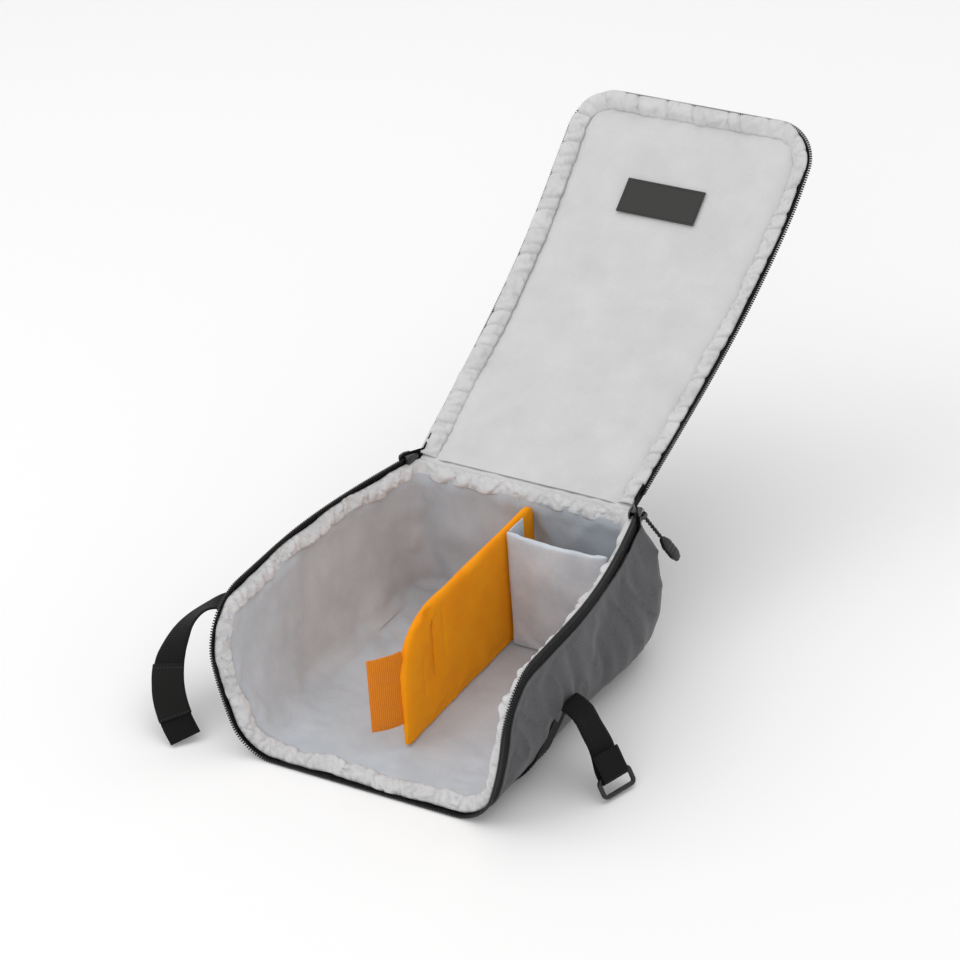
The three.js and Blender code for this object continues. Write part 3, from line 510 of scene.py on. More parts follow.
def settle(piece, held, growth, push, cap, bending=0.05, frames=SETTLE_FRAMES):
    """Lets a cut of cloth that is a little too big for its frame find its wrinkles. It is held where held is
    true, its threads grow by growth, air pushes it along its faces, and no point moves more than cap."""
    start = places(piece)
    group = piece.vertex_groups.new(name="held")
    group.add([int(i) for i in np.nonzero(held)[0]], 1, "REPLACE")
    cloth = piece.modifiers.new("cloth", "CLOTH")
    cloth.settings.quality = 6
    cloth.settings.mass = 0.3
    cloth.settings.tension_stiffness = 15
    cloth.settings.compression_stiffness = 15
    cloth.settings.shear_stiffness = 5
    cloth.settings.bending_stiffness = bending
    cloth.settings.vertex_group_mass = "held"
    cloth.settings.shrink_min = -growth
    cloth.settings.use_pressure = push != 0
    cloth.settings.uniform_pressure_force = push
    cloth.settings.effector_weights.gravity = 0
    cloth.collision_settings.use_collision = False
    cloth.point_cache.frame_end = frames
    scene = bpy.context.scene
    for number in range(1, frames + 1):
        scene.frame_set(number)
    shown = piece.evaluated_get(bpy.context.evaluated_depsgraph_get())
    flat = np.zeros(len(start) * 3, np.float32)
    shown.data.vertices.foreach_get("co", flat)
    piece.modifiers.clear()
    piece.vertex_groups.clear()
    scene.frame_set(1)
    move = flat.reshape(-1, 3).astype(float) / MM - start
    size = np.linalg.norm(move, axis=1, keepdims=True)
    move *= np.minimum(1, cap * np.tanh(size / cap) / np.maximum(size, 1e-9))
    set_places(piece, start + move)


# ---- Materials ----

WAVE_TURN = 2 * math.pi / 20


def add_node(tree, kind, inputs=(), stops=(), **settings):
    """Adds a node with its settings and links. The stops are a ramp's two colours, as place and colour."""
    made = tree.nodes.new(kind)
    for key, value in settings.items():
        setattr(made, key, value)
    for key, value in dict(inputs).items():
        if isinstance(value, bpy.types.NodeSocket):
            tree.links.new(value, made.inputs[key])
        else:
            made.inputs[key].default_value = value
    for spot, (position, colour) in enumerate(stops):
        made.color_ramp.elements[spot].position = position
        made.color_ramp.elements[spot].color = linear(colour)
    return made


def new_material(name, **surface):
    material = bpy.data.materials.new(name)
    material.use_nodes = True
    tree = material.node_tree
    shader = tree.nodes["Principled BSDF"]
    for key, value in surface.items():
        shader.inputs[key.replace("_", " ")].default_value = value
    return material, tree, shader


def lumps(size, detail=3.0, roughness=0.55):
    """Noise settings for lumps about size millimetres across."""
    return {"Scale": 1 / (size * MM), "Detail": detail, "Roughness": roughness}


def ridges(spacing):
    """Wave settings for ridges spacing millimetres apart."""
    return {"Scale": WAVE_TURN / (spacing * MM), "Distortion": 0.0}


def mapped(low, high):
    """Map Range settings that turn a noise's usual spread into the range low to high."""
    return {"From Min": 0.3, "From Max": 0.7, "To Min": low, "To Max": high}


def woven_polyester():
    """Coated plain-weave polyester: a matt dark grey, mottled by its two-tone yarns, with a faint sheen from
    the coating. The 0.4 mm threads are drawn 1.1 mm apart so that they show."""
    material, tree, shader = new_material(
        "woven_polyester", Roughness=0.72, IOR=1.5, Sheen_Weight=0.12, Sheen_Roughness=0.4
    )
    place = add_node(tree, "ShaderNodeTexCoord").outputs["Object"]
    yarn = add_node(tree, "ShaderNodeTexNoise", {"Vector": place, **lumps(1.4, 2.0, 0.7)}).outputs["Fac"]
    cloud = add_node(tree, "ShaderNodeTexNoise", {"Vector": place, **lumps(38)}).outputs["Fac"]
    mixed = add_node(tree, "ShaderNodeMix", {"Factor": 0.35, "A": yarn, "B": cloud}).outputs["Result"]
    colour = add_node(
        tree, "ShaderNodeValToRGB", {"Fac": mixed}, [(0.33, "#3d3c3f"), (0.68, "#565558")]
    ).outputs["Color"]
    tree.links.new(colour, shader.inputs["Base Color"])
    warp = add_node(
        tree, "ShaderNodeTexWave", {"Vector": place, **ridges(1.1)}, bands_direction="DIAGONAL"
    ).outputs["Fac"]
    weave = add_node(tree, "ShaderNodeMath", {0: warp, 1: yarn}, operation="MULTIPLY").outputs[0]
    crease = add_node(tree, "ShaderNodeTexNoise", {"Vector": place, **lumps(12, 4.0, 0.6)}).outputs["Fac"]
    soft = add_node(tree, "ShaderNodeBump", {"Height": crease, "Distance": 0.5 * MM}).outputs["Normal"]
    fine = add_node(tree, "ShaderNodeBump", {"Height": weave, "Distance": 0.1 * MM, "Normal": soft})
    tree.links.new(fine.outputs["Normal"], shader.inputs["Normal"])
    rough = add_node(tree, "ShaderNodeMapRange", {"Value": cloud, **mapped(0.62, 0.8)})
    tree.links.new(rough.outputs["Result"], shader.inputs["Roughness"])
    return material


def brushed_tricot(name, dark, light, nap=0.9, relief=0.12):
    """Brushed warp-knit tricot: pale grey and soft, with a short nap that scatters light at its edges. The
    knit's 0.5 mm wales are drawn 0.9 mm apart."""
    material, tree, shader = new_material(
        name, Roughness=0.85, IOR=1.46, Sheen_Weight=0.3, Sheen_Roughness=0.5
    )
    place = add_node(tree, "ShaderNodeTexCoord").outputs["Object"]
    fuzz = add_node(tree, "ShaderNodeTexNoise", {"Vector": place, **lumps(nap, 3.0, 0.7)}).outputs["Fac"]
    cloud = add_node(tree, "ShaderNodeTexNoise", {"Vector": place, **lumps(30)}).outputs["Fac"]
    mixed = add_node(tree, "ShaderNodeMix", {"Factor": 0.55, "A": fuzz, "B": cloud}).outputs["Result"]
    colour = add_node(tree, "ShaderNodeValToRGB", {"Fac": mixed}, [(0.32, dark), (0.68, light)])
    tree.links.new(colour.outputs["Color"], shader.inputs["Base Color"])
    crease = add_node(tree, "ShaderNodeTexNoise", {"Vector": place, **lumps(9, 4.0, 0.6)}).outputs["Fac"]
    soft = add_node(tree, "ShaderNodeBump", {"Height": crease, "Distance": 0.45 * MM}).outputs["Normal"]
    fine = add_node(tree, "ShaderNodeBump", {"Height": fuzz, "Distance": relief * MM, "Normal": soft})
    tree.links.new(fine.outputs["Normal"], shader.inputs["Normal"])
    return material


def woven_tape(name, dark, light, rib, depth, roughness=0.75):
    """Dense woven tape with ribs straight across it, dull black with paler high threads."""
    material, tree, shader = new_material(
        name, Roughness=roughness, IOR=1.5, Specular_IOR_Level=0.15, Sheen_Weight=0.03
    )
    place = add_node(tree, "ShaderNodeUVMap", uv_map="cloth").outputs["UV"]
    cross = add_node(tree, "ShaderNodeTexWave", {"Vector": place, **ridges(rib)}, bands_direction="X")
    sides = add_node(tree, "ShaderNodeTexWave", {"Vector": place, **ridges(rib * 1.6)}, bands_direction="Y")
    grain = add_node(tree, "ShaderNodeTexNoise", {"Vector": place, **lumps(0.8, 2.0, 0.6)}).outputs["Fac"]
    high = add_node(
        tree, "ShaderNodeMix", {"Factor": 0.33, "A": cross.outputs["Fac"], "B": sides.outputs["Fac"]}
    ).outputs["Result"]
    mixed = add_node(tree, "ShaderNodeMix", {"Factor": 0.4, "A": high, "B": grain}).outputs["Result"]
    colour = add_node(tree, "ShaderNodeValToRGB", {"Fac": mixed}, [(0.2, dark), (0.85, light)])
    tree.links.new(colour.outputs["Color"], shader.inputs["Base Color"])
    relief = add_node(tree, "ShaderNodeBump", {"Height": high, "Distance": depth * MM})
    tree.links.new(relief.outputs["Normal"], shader.inputs["Normal"])
    return material


def moulded_nylon(name="moulded_nylon", dark="#0f0f10", light="#1a1a1c", roughness=0.4):
    """Injection-moulded nylon: near black, with a fine spark-eroded grain that breaks up its gloss."""
    material, tree, shader = new_material(name, Roughness=roughness, IOR=1.53)
    place = add_node(tree, "ShaderNodeTexCoord").outputs["Object"]
    grain = add_node(tree, "ShaderNodeTexNoise", {"Vector": place, **lumps(0.35, 2.0, 0.6)}).outputs["Fac"]
    cloud = add_node(tree, "ShaderNodeTexNoise", {"Vector": place, **lumps(6, 2.0, 0.5)}).outputs["Fac"]
    colour = add_node(tree, "ShaderNodeValToRGB", {"Fac": cloud}, [(0.3, dark), (0.7, light)])
    tree.links.new(colour.outputs["Color"], shader.inputs["Base Color"])
    relief = add_node(tree, "ShaderNodeBump", {"Height": grain, "Distance": 0.03 * MM})
    tree.links.new(relief.outputs["Normal"], shader.inputs["Normal"])
    smoother, rougher = roughness - 0.08, roughness + 0.1
    rough = add_node(tree, "ShaderNodeMapRange", {"Value": cloud, **mapped(smoother, rougher)})
    tree.links.new(rough.outputs["Result"], shader.inputs["Roughness"])
    return material


def enamelled_zinc():
    """Die-cast zinc under black enamel: glossy, and a little thinner and browner in worn patches."""
    material, tree, shader = new_material(
        "enamelled_zinc", Roughness=0.22, IOR=1.5, Coat_Weight=0.7, Coat_Roughness=0.1
    )
    place = add_node(tree, "ShaderNodeTexCoord").outputs["Object"]
    wear = add_node(tree, "ShaderNodeTexNoise", {"Vector": place, **lumps(2.2, 4.0, 0.65)}).outputs["Fac"]
    colour = add_node(tree, "ShaderNodeValToRGB", {"Fac": wear}, [(0.45, "#0b0b0c"), (0.8, "#242322")])
    tree.links.new(colour.outputs["Color"], shader.inputs["Base Color"])
    relief = add_node(tree, "ShaderNodeBump", {"Height": wear, "Distance": 0.04 * MM})
    tree.links.new(relief.outputs["Normal"], shader.inputs["Normal"])
    return material


def brushed_loop_nylon():
    """Brushed loop nylon over foam: saturated orange, with a short fuzzy pile that pales at its edges."""
    surface = {"Roughness": 0.8, "IOR": 1.5, "Specular_IOR_Level": 0.2}
    material, tree, shader = new_material(
        "brushed_loop_nylon", **surface, Sheen_Weight=0.1, Sheen_Roughness=0.45
    )
    shader.inputs["Sheen Tint"].default_value = linear("#ffb347")
    place = add_node(tree, "ShaderNodeTexCoord").outputs["Object"]
    pile = add_node(tree, "ShaderNodeTexNoise", {"Vector": place, **lumps(0.8, 3.0, 0.7)}).outputs["Fac"]
    cloud = add_node(tree, "ShaderNodeTexNoise", {"Vector": place, **lumps(22)}).outputs["Fac"]
    mixed = add_node(tree, "ShaderNodeMix", {"Factor": 0.5, "A": pile, "B": cloud}).outputs["Result"]
    colour = add_node(tree, "ShaderNodeValToRGB", {"Fac": mixed}, [(0.3, "#f48c00"), (0.7, "#ffa60a")])
    tree.links.new(colour.outputs["Color"], shader.inputs["Base Color"])
    relief = add_node(tree, "ShaderNodeBump", {"Height": pile, "Distance": 0.16 * MM})
    tree.links.new(relief.outputs["Normal"], shader.inputs["Normal"])
    return material


def hook_tape():
    """Moulded hook tape: orange nylon with rows of small hooks 1.5 mm apart that read as a grid of dots."""
    material, tree, shader = new_material("hook_tape", Roughness=0.6, IOR=1.53, Specular_IOR_Level=0.3)
    place = add_node(tree, "ShaderNodeUVMap", uv_map="cloth").outputs["UV"]
    rows = add_node(tree, "ShaderNodeTexWave", {"Vector": place, **ridges(1.5)}, bands_direction="X")
    columns = add_node(tree, "ShaderNodeTexWave", {"Vector": place, **ridges(1.5)}, bands_direction="Y")
    hooks = add_node(
        tree, "ShaderNodeMath", {0: rows.outputs["Fac"], 1: columns.outputs["Fac"]}, operation="MULTIPLY"
    ).outputs[0]
    colour = add_node(tree, "ShaderNodeValToRGB", {"Fac": hooks}, [(0.1, "#e27a00"), (0.8, "#ffa31c")])
    tree.links.new(colour.outputs["Color"], shader.inputs["Base Color"])
    relief = add_node(tree, "ShaderNodeBump", {"Height": hooks, "Distance": 0.5 * MM})
    tree.links.new(relief.outputs["Normal"], shader.inputs["Normal"])
    return material


def satin_nylon():
    """Satin-faced nylon: silver grey with long soft highlights, from floats that run up the cloth."""
    material, tree, shader = new_material(
        "satin_nylon", Roughness=0.42, IOR=1.5, Anisotropic=0.4, Sheen_Weight=0.2, Sheen_Roughness=0.3
    )
    place = add_node(tree, "ShaderNodeTexCoord").outputs["Object"]
    floats = add_node(tree, "ShaderNodeTexNoise", {"Vector": place, **lumps(1.0, 2.0, 0.6)}).outputs["Fac"]
    cloud = add_node(tree, "ShaderNodeTexNoise", {"Vector": place, **lumps(26)}).outputs["Fac"]
    mixed = add_node(tree, "ShaderNodeMix", {"Factor": 0.7, "A": floats, "B": cloud}).outputs["Result"]
    colour = add_node(tree, "ShaderNodeValToRGB", {"Fac": mixed}, [(0.3, "#b3bac3"), (0.7, "#d4dae1")])
    tree.links.new(colour.outputs["Color"], shader.inputs["Base Color"])
    relief = add_node(tree, "ShaderNodeBump", {"Height": floats, "Distance": 0.06 * MM})
    tree.links.new(relief.outputs["Normal"], shader.inputs["Normal"])
    return material


MATERIALS = {
    "shell": woven_polyester(),
    "lining": brushed_tricot("brushed_tricot", "#b0b7be", "#c7cdd4"),
    "lid_lining": brushed_tricot("brushed_tricot_lid", "#c6c6c7", "#d4d4d5"),
    "binding": brushed_tricot("brushed_tricot_binding", "#c4c4c5", "#dadadb", 1.1, 0.16),
    "tape": woven_tape("woven_zip_tape", "#060607", "#111112", 1.0, 0.12, 0.8),
    "webbing": woven_tape("ribbed_webbing", "#070708", "#171718", 1.7, 0.35, 0.7),
    # The webbing sewn flat on the walls gets a slightly paler copy of the strap's webbing colours.
    "anchor": woven_tape("ribbed_webbing_paler", "#101011", "#1f1f20", 1.7, 0.3, 0.75),
    "coil": moulded_nylon("extruded_nylon_coil", "#0d0d0e", "#19191b", 0.34),
    "plastic": moulded_nylon(),
    "slider": enamelled_zinc(),
    "label": woven_tape("damask_woven_label", "#373736", "#454544", 0.9, 0.06, 0.65),
    "patch": woven_tape("damask_woven_patch", "#111110", "#1b1b1a", 0.9, 0.06, 0.65),
    "orange": brushed_loop_nylon(),
    "hooks": hook_tape(),
    "satin": satin_nylon(),
    "thread": moulded_nylon("bonded_sewing_thread", "#222223", "#3a3a3b", 0.55),
    "orange_thread": moulded_nylon("orange_sewing_thread", "#b86200", "#d47800", 0.6),
    "webbing_cord": moulded_nylon("braided_pull_cord", "#0f0f10", "#242426", 0.55),
}


# ---- The body: outer fabric, padded lining, bound mouth, zip ----

LOW_LEVELS = np.linspace(-1, -0.08, 9)
HEM_INSET = 10.2
LINING_INSET = 10.5
LINING_DEPTH = 8.3
FRONT_ARC_RUN = 60
WALL_RUN = 95
CORNER_RUN = 32
BACK_HALF_RUN = 84


def wall_sections(inset, depth, spacing):
    """Sections up the right wall, from the front edge round the back corner to the middle of the back. Each
    runs from the flat base up to the mouth."""
    angles = np.linspace(QUARTER, 0.06, round(FRONT_ARC_RUN / spacing))
    front = MOUTH_CENTRE_Y - (MOUTH_RADIUS - inset) * np.sin(angles)
    side_end = HALF_DEPTH - BACK_CORNER_LOW - 4
    side = np.linspace(MOUTH_CENTRE_Y, side_end, round((side_end - MOUTH_CENTRE_Y) / spacing))
    rows = []
    wall_count = round(WALL_RUN / spacing)

    def section(along_of, start, top):
        levels = np.concatenate([LOW_LEVELS, np.linspace(start, top, wall_count)])
        return shell_inside(along_of(levels), levels, depth)

    for y in np.concatenate([front, side]):
        start = float(base_radius((y + HALF_DEPTH) / CASE_DEPTH))
        reach = MOUTH_RADIUS - inset
        top = CASE_HEIGHT - inset
        if y < MOUTH_CENTRE_Y:
            top = MOUTH_CENTRE_Z + math.sqrt(max(reach**2 - (y - MOUTH_CENTRE_Y) ** 2, 0))
        rows.append(section(lambda levels, y=y: along_at(y, levels), start, top))
    for along in np.linspace(1, 2, round(CORNER_RUN / spacing)):
        rows.append(
            section(lambda levels, a=along: np.full(len(levels), a), BACK_BASE_RADIUS, CASE_HEIGHT - inset)
        )
    corner = rows[-1]
    for share in np.linspace(1, 0, round(BACK_HALF_RUN / spacing))[1:]:
        rows.append(corner * np.array([share, 1, 1]))
    return np.array(rows)


def tub_piece(name, inset, depth, spacing):
    """The walls and the base as one cloth, open at the front and the top."""
    right = wall_sections(inset, depth, spacing)
    walls = np.concatenate([right, mirrored(right[::-1])[1:]])
    feet = right[:, 0]
    corner_end = len(right) - round(BACK_HALF_RUN / spacing) + 1
    across = 2 * round(BACK_HALF_RUN / spacing) - 1
    shares = np.linspace(1, -1, across)
    base = feet[:corner_end, None, :] * np.stack([shares, np.ones(across), np.ones(across)], -1)[None]
    count = walls.shape[0] * walls.shape[1]
    faces = np.concatenate([quads(*walls.shape[:2]), quads(*base.shape[:2]) + count])
    piece = new_piece(name, np.concatenate([walls.reshape(-1, 3), base.reshape(-1, 3)]), faces)
    edit(piece, weld, face_outwards)
    return piece


def distance_to_mouth(points):
    """How far each point of a wall lies in from the mouth's edge, measured down or back along the wall."""
    x, y, z = points.T
    down = CASE_HEIGHT - z
    reach = np.hypot(np.minimum(y - MOUTH_CENTRE_Y, 0), np.maximum(z - MOUTH_CENTRE_Z, 0))
    in_arc = (y < MOUTH_CENTRE_Y) & (z > MOUTH_CENTRE_Z)
    front = y + HALF_DEPTH
    return np.where(in_arc, MOUTH_RADIUS - reach, np.where(y < MOUTH_CENTRE_Y, front, np.minimum(down, 99)))


def outer_shell():
    piece = tub_piece("outer_shell", HEM_INSET, 0.2, 2.8)
    points, facing = places(piece), normals_of(piece)
    x, y, z = points.T
    middle = np.array([0, 0, 60])
    facing *= np.sign(np.sum(facing * (points - middle), axis=1, keepdims=True))
    edge = distance_to_mouth(points)
    on_wall = smooth(z / 22)
    slant = y + 0.45 * z
    fold = ripple(points_of(slant, z, np.sign(x) * 40), (13, 60, 10), 3)
    band = smooth((edge - 8) / 26) * smooth((z - 8) / 40)
    soft = ripple(points, (55, 55, 40), 5)
    pucker = ripple(points_of(slant, z, np.sign(x) * 40), (8, 30, 10), 9) * smooth(1 - (edge - 8) / 22)
    rear = smooth((y - 10) / 85) * smooth((np.abs(x) - 20) / 60)
    swell = rear * np.sin(math.pi * np.clip((z + 12) / 128, 0, 1))
    line = 1 - np.abs(ripple(points_of(slant + 0.2 * z, z, np.sign(x) * 40), (26, 70, 10), 14))
    back_swell = smooth((y - 118) / 8) * np.cos(np.clip(x / 95, -1, 1) * QUARTER) * np.sin(math.pi * z / 120)
    hem = np.exp(-(((edge - HEM_INSET - 1.6) / 1.9) ** 2)) * 0.9
    lift = on_wall * (
        ((1.5 + 1.2 * soft) * fold + 1.6 * soft + 2.2 * np.clip(line, 0, 1) ** 7) * band
        + 0.35 * pucker
        + 15 * swell
        + 4 * back_swell
    ) + hem
    set_places(piece, points + facing * lift[:, None])
    settle(piece, (edge < HEM_INSET + 3) | (z < 1), 0.012, 0.6, 1.6, 0.3)
    thicken(piece, 1.2, -0.6)
    points = places(piece)
    points[:, 2] = np.maximum(points[:, 2], 0.05)
    set_places(piece, points)
    return finish_piece(
        piece,
        MATERIALS["shell"],
        "case",
        ["base_panel", "back_panel", "right_side_panel", "left_side_panel"]
        + ["base_foam", "back_foam", "right_side_foam", "left_side_foam"],
    )


def padded_lining():
    piece = tub_piece("padded_lining", LINING_INSET, LINING_DEPTH, 3.6)
    points, facing = places(piece), normals_of(piece)
    inside = np.array([0, 10, 70])
    facing *= np.sign(np.sum(facing * (inside - points), axis=1, keepdims=True))
    x, y, z = points.T
    edge = distance_to_mouth(points)
    near_mouth = smooth((edge - LINING_INSET) / 9)
    heel = np.exp(-(((z - 13) / 7) ** 2))
    soft = ripple(points, (34, 34, 26), 11)
    fine = ripple(points, (13, 13, 22), 12)
    back_roll = np.exp(-(((z - 104) / 7) ** 2)) * smooth((y - 90) / 20)
    lift = near_mouth * (1.2 + 1.0 * soft + 0.35 * fine) - 0.9 * heel + 1.6 * back_roll
    base = z < 9.5
    lift = np.where(base, 0.25 * soft + 0.15 * fine, lift)
    set_places(piece, points + facing * lift[:, None])
    held = (edge < LINING_INSET + 2.5) | ((z < 9) & (np.abs(x) < 60))
    settle(piece, held, 0.02, 0.0, 2.2, 0.2)
    thicken(piece, 1.1)
    return finish_piece(
        piece,
        MATERIALS["lining"],
        "case",
        ["base_lining", "back_lining", "right_side_lining", "left_side_lining"],
    )


def rolled_section(start, end, crest, count):
    """A bulging section between two seams. Points are (inset, depth) and crest is how far it swells."""
    t = np.linspace(0, 1, count)
    start, end = np.array(start, float), np.array(end, float)
    line = start + (end - start) * t[:, None]
    chord = end - start
    out = unit(np.array([-chord[1], chord[0]]))
    swell = np.sin(math.pi * t) ** 0.6 * crest
    return line + out * swell[:, None]


def mouth_binding():
    """The lining's bound edge: a soft roll that is gathered along both of its seams."""
    section = rolled_section((4.6, 2.0), (13.4, 9.6), 2.6, 12)
    grid = np.stack([mouth_ring(inset, depth, 1.4) for inset, depth in section], 1)
    piece = grid_piece("mouth_binding", grid, rows_closed=True)
    edit(piece, face_outwards)
    count = grid.shape[1]
    share = np.tile(np.linspace(0, 1, count), grid.shape[0])
    run = np.repeat(run_lengths(grid[:, 0], True)[:-1], count)
    middle = np.roll(grid, -1, axis=0) - np.roll(grid, 1, axis=0)
    across = grid[:, -1] - grid[:, 0]
    out = unit(np.cross(middle, across[:, None, :])).reshape(-1, 3)
    centre = np.array([0, 0, 70])
    body = np.sin(math.pi * share)
    wide = ripple_run(run, 0, (27, 1), 21)
    pleat = ripple_run(run + 9 * share, share * 6, (9.5, 9), 22)
    sharp = ripple_run(run - 5 * share, share * 4, (4.2, 8), 23)
    valley = np.clip(1 - np.abs(pleat) * 2.2, 0, 1) ** 2
    pinch = pinches(run + 4 * share, 26, 24)
    calm = 1 - 0.75 * smooth((grid.reshape(-1, 3)[:, 1] - 112) / 8)
    lift = body * calm * (1.2 * wide + 0.9 * pleat + 0.5 * sharp - 1.0 * valley - 2.2 * pinch)
    sign = np.sign(np.sum(out * (centre - grid.reshape(-1, 3)), axis=1, keepdims=True))
    points = grid.reshape(-1, 3) + out * sign * lift[:, None]
    inner = unit(across).repeat(count, axis=0)
    points += inner * (share * (1.8 * wide + 1.0 * pleat) + (1 - share) * (0.9 * wide + 0.4 * pleat))[:, None]
    set_places(piece, points)
    settle(piece, (share == 0) | (share == 1), 0.14, 1.5, 3.0, 0.02)
    thicken(piece, 0.9)
    return finish_piece(
        piece,
        MATERIALS["binding"],
        "case",
        ["right_rim_binding", "left_rim_binding", "front_rim_binding", "back_rim_binding"],
        smooth_all=True,
    )


COIL_PITCH = 2.0
COIL_BACK_STOP = 96


def open_part(line):
    """The part of a mouth ring that the zip runs on: all of it but the straight back."""
    lengths = run_lengths(line, True)
    return COIL_BACK_STOP, lengths[-1] - COIL_BACK_STOP, lengths


def tape_strip(name, lines, thickness, wander, seed):
    """A tape between two edge lines, slightly rippled square to its face."""
    near, far = lines
    shares = np.linspace(0, 1, 6)
    grid = near[:, None, :] + (far - near)[:, None, :] * shares[None, :, None]
    run = run_lengths(near)[: len(near), None] + 0 * shares[None]
    tangent = unit(np.gradient(grid, axis=0))
    out = unit(np.cross(tangent, (far - near)[:, None, :]))
    bend = ripple_run(run, shares[None] * 8, (17, 9), seed)
    grid = grid + out * (wander * bend * shares[None])[..., None]
    piece = grid_piece(name, grid)
    thicken(piece, thickness)
    return piece


def mouth_tape():
    inner, outer = mouth_ring(1.6, 1.0), mouth_ring(12.4, 0.9)
    first, last, _ = open_part(inner)
    keep = slice(round(first / 2) - 3, len(inner) - round(first / 2) + 3)
    piece = tape_strip("mouth_tape", (inner[keep], outer[keep]), 0.8, 0.15, 31)
    return finish_piece(
        piece, MATERIALS["tape"], "case", ["right_zip_tape", "left_zip_tape", "front_zip_tape"]
    )


def tooth_form(width):
    """One turn of the coil seen end on: a loop that grips at its outer head. Columns are along, in, deep."""
    sections = [
        (-1.8, 0.32, 0.65),
        (-1.5, 0.62, 1.1),
        (-0.7, 0.64, 1.2),
        (0.3, 0.5, 1.1),
        (width, 0.45, 0.9),
    ]
    ring = []
    for inset, along, deep in sections:
        for k in range(6):
            angle = math.pi * (k / 3 + 1 / 6)
            ring.append((along * math.cos(angle), inset, deep * math.sin(angle)))
    faces = quads(len(sections), 6, False, True).tolist()
    faces.append(list(range(6))[::-1])
    faces.append([6 * (len(sections) - 1) + k for k in range(6)])
    return np.array(ring), faces


def coil_piece(name, middle, inner, deeper, spots, lengths):
    """Teeth at each spot along a line, turned to the inward and downward directions there."""
    form, faces = tooth_form(2.4)
    here = at_spots(middle, lengths, spots)
    ahead = at_spots(middle, lengths, np.minimum(spots + 0.5, lengths[-1]))
    behind = at_spots(middle, lengths, np.maximum(spots - 0.5, 0))
    tangent = unit(ahead - behind)
    inwards = unit(at_spots(inner, lengths, spots) - here)
    inwards = unit(inwards - tangent * np.sum(inwards * tangent, axis=1, keepdims=True))
    down = at_spots(deeper, lengths, spots) - here
    deep = np.cross(tangent, inwards)
    deep *= np.sign(np.sum(deep * down, axis=1, keepdims=True))
    points = (
        here[:, None, :]
        + tangent[:, None, :] * form[None, :, :1]
        + inwards[:, None, :] * form[None, :, 1:2]
        + deep[:, None, :] * form[None, :, 2:]
    )
    every = (np.arange(len(spots)) * len(form))[:, None]
    all_faces = []
    for face in faces:
        all_faces += (np.array(face)[None] + every).tolist()
    return new_piece(name, points, all_faces)


def mouth_coil():
    middle, inner, deeper = mouth_ring(1.0, 1.2), mouth_ring(2.5, 1.2), mouth_ring(1.0, 2.2)
    first, last, lengths = open_part(middle)
    spots = np.arange(first, last, COIL_PITCH)
    teeth = coil_piece("mouth_coil", middle, inner, deeper, spots, lengths)
    edit(teeth, face_outwards)
    return finish_piece(
        teeth,
        MATERIALS["coil"],
        "case",
        ["right_zip_chain", "left_zip_chain", "front_zip_chain"],
        smooth_all=True,
    )


# ---- The lid ----


def bend_with_lid(piece):
    """The lid's cloth keeps the place it is drawn in: its placement is baked into its mesh, and it is not
    attached to the lid.
    """
    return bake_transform(piece)


def lid_rows(inset, start, spacing):
    straight = np.arange(start, LID_CORNER_ALONG, spacing)
    angle = np.linspace(0, QUARTER * 0.985, round(QUARTER * LID_CORNER / spacing))
    return np.concatenate([straight, LID_CORNER_ALONG + (LID_CORNER - inset) * np.sin(angle)])


def lid_sheet(name, inset, start, depth_of, spacing):
    """A cloth over the lid. depth_of gives its depth from the row and the distance in from its edge."""
    rows = lid_rows(inset, start, spacing)
    shares = np.sin(np.linspace(-1, 1, round(200 / spacing)) * QUARTER * 0.82) / math.sin(QUARTER * 0.82)
    reach = lid_reach(rows, inset)
    across = reach[:, None] * shares[None]
    along = rows[:, None] + 0 * across
    side_gap = lid_reach(along, 0) - np.abs(across)
    end_gap = MOUTH_LENGTH - along
    edge_gap = np.minimum(side_gap, end_gap)
    return grid_piece(name, lid_point(along, across, depth_of(along, across, edge_gap))), along, across


LID_BINDING_IN = 14.0


def lid_lining():
    def depth_of(along, across, edge):
        soft = ripple(points_of(along, across, 0 * along), (60, 45, 1), 41).reshape(along.shape)
        seam = np.exp(-(((edge - LID_BINDING_IN) / 3.5) ** 2))
        return 2.2 - 0.7 * soft * smooth((edge - 14) / 20) + 1.6 * seam - 1.0 * smooth((edge - 15) / 12)

    piece, along, across = lid_sheet("lid_lining_pad", LID_BINDING_IN - 1.5, -0.6, depth_of, 4)
    flat_edges = np.zeros(along.shape, bool)
    flat_edges[[0, -1]] = True
    flat_edges[:, [0, -1]] = True
    settle(piece, flat_edges.ravel(), 0.004, 0.0, 1.4, 0.6)
    thicken(piece, 1.0)
    finish_piece(
        piece,
        MATERIALS["lid_lining"],
        None,
        ["lid_lining", "flap_lining", "lid_foam", "flap_foam"],
    )
    return bend_with_lid(piece)


def lid_outer():
    def depth_of(along, across, edge):
        soft = ripple(points_of(along, across, 0 * along), (48, 30, 1), 43).reshape(along.shape)
        fold = ripple(points_of(along, across, 0 * along), (16, 60, 1), 44).reshape(along.shape)
        pad = smooth((edge - 9) / 17)
        hem = np.exp(-(((edge - 11) / 1.9) ** 2)) * 0.7
        return 3.3 + 5.9 * pad + (0.8 * soft + 0.35 * fold) * pad + hem

    piece, along, across = lid_sheet("lid_outer_panel", 9.5, 5.0, depth_of, 4)
    thicken(piece, 1.2)
    finish_piece(piece, MATERIALS["shell"], None, ["lid_panel", "flap_panel"])
    return bend_with_lid(piece)


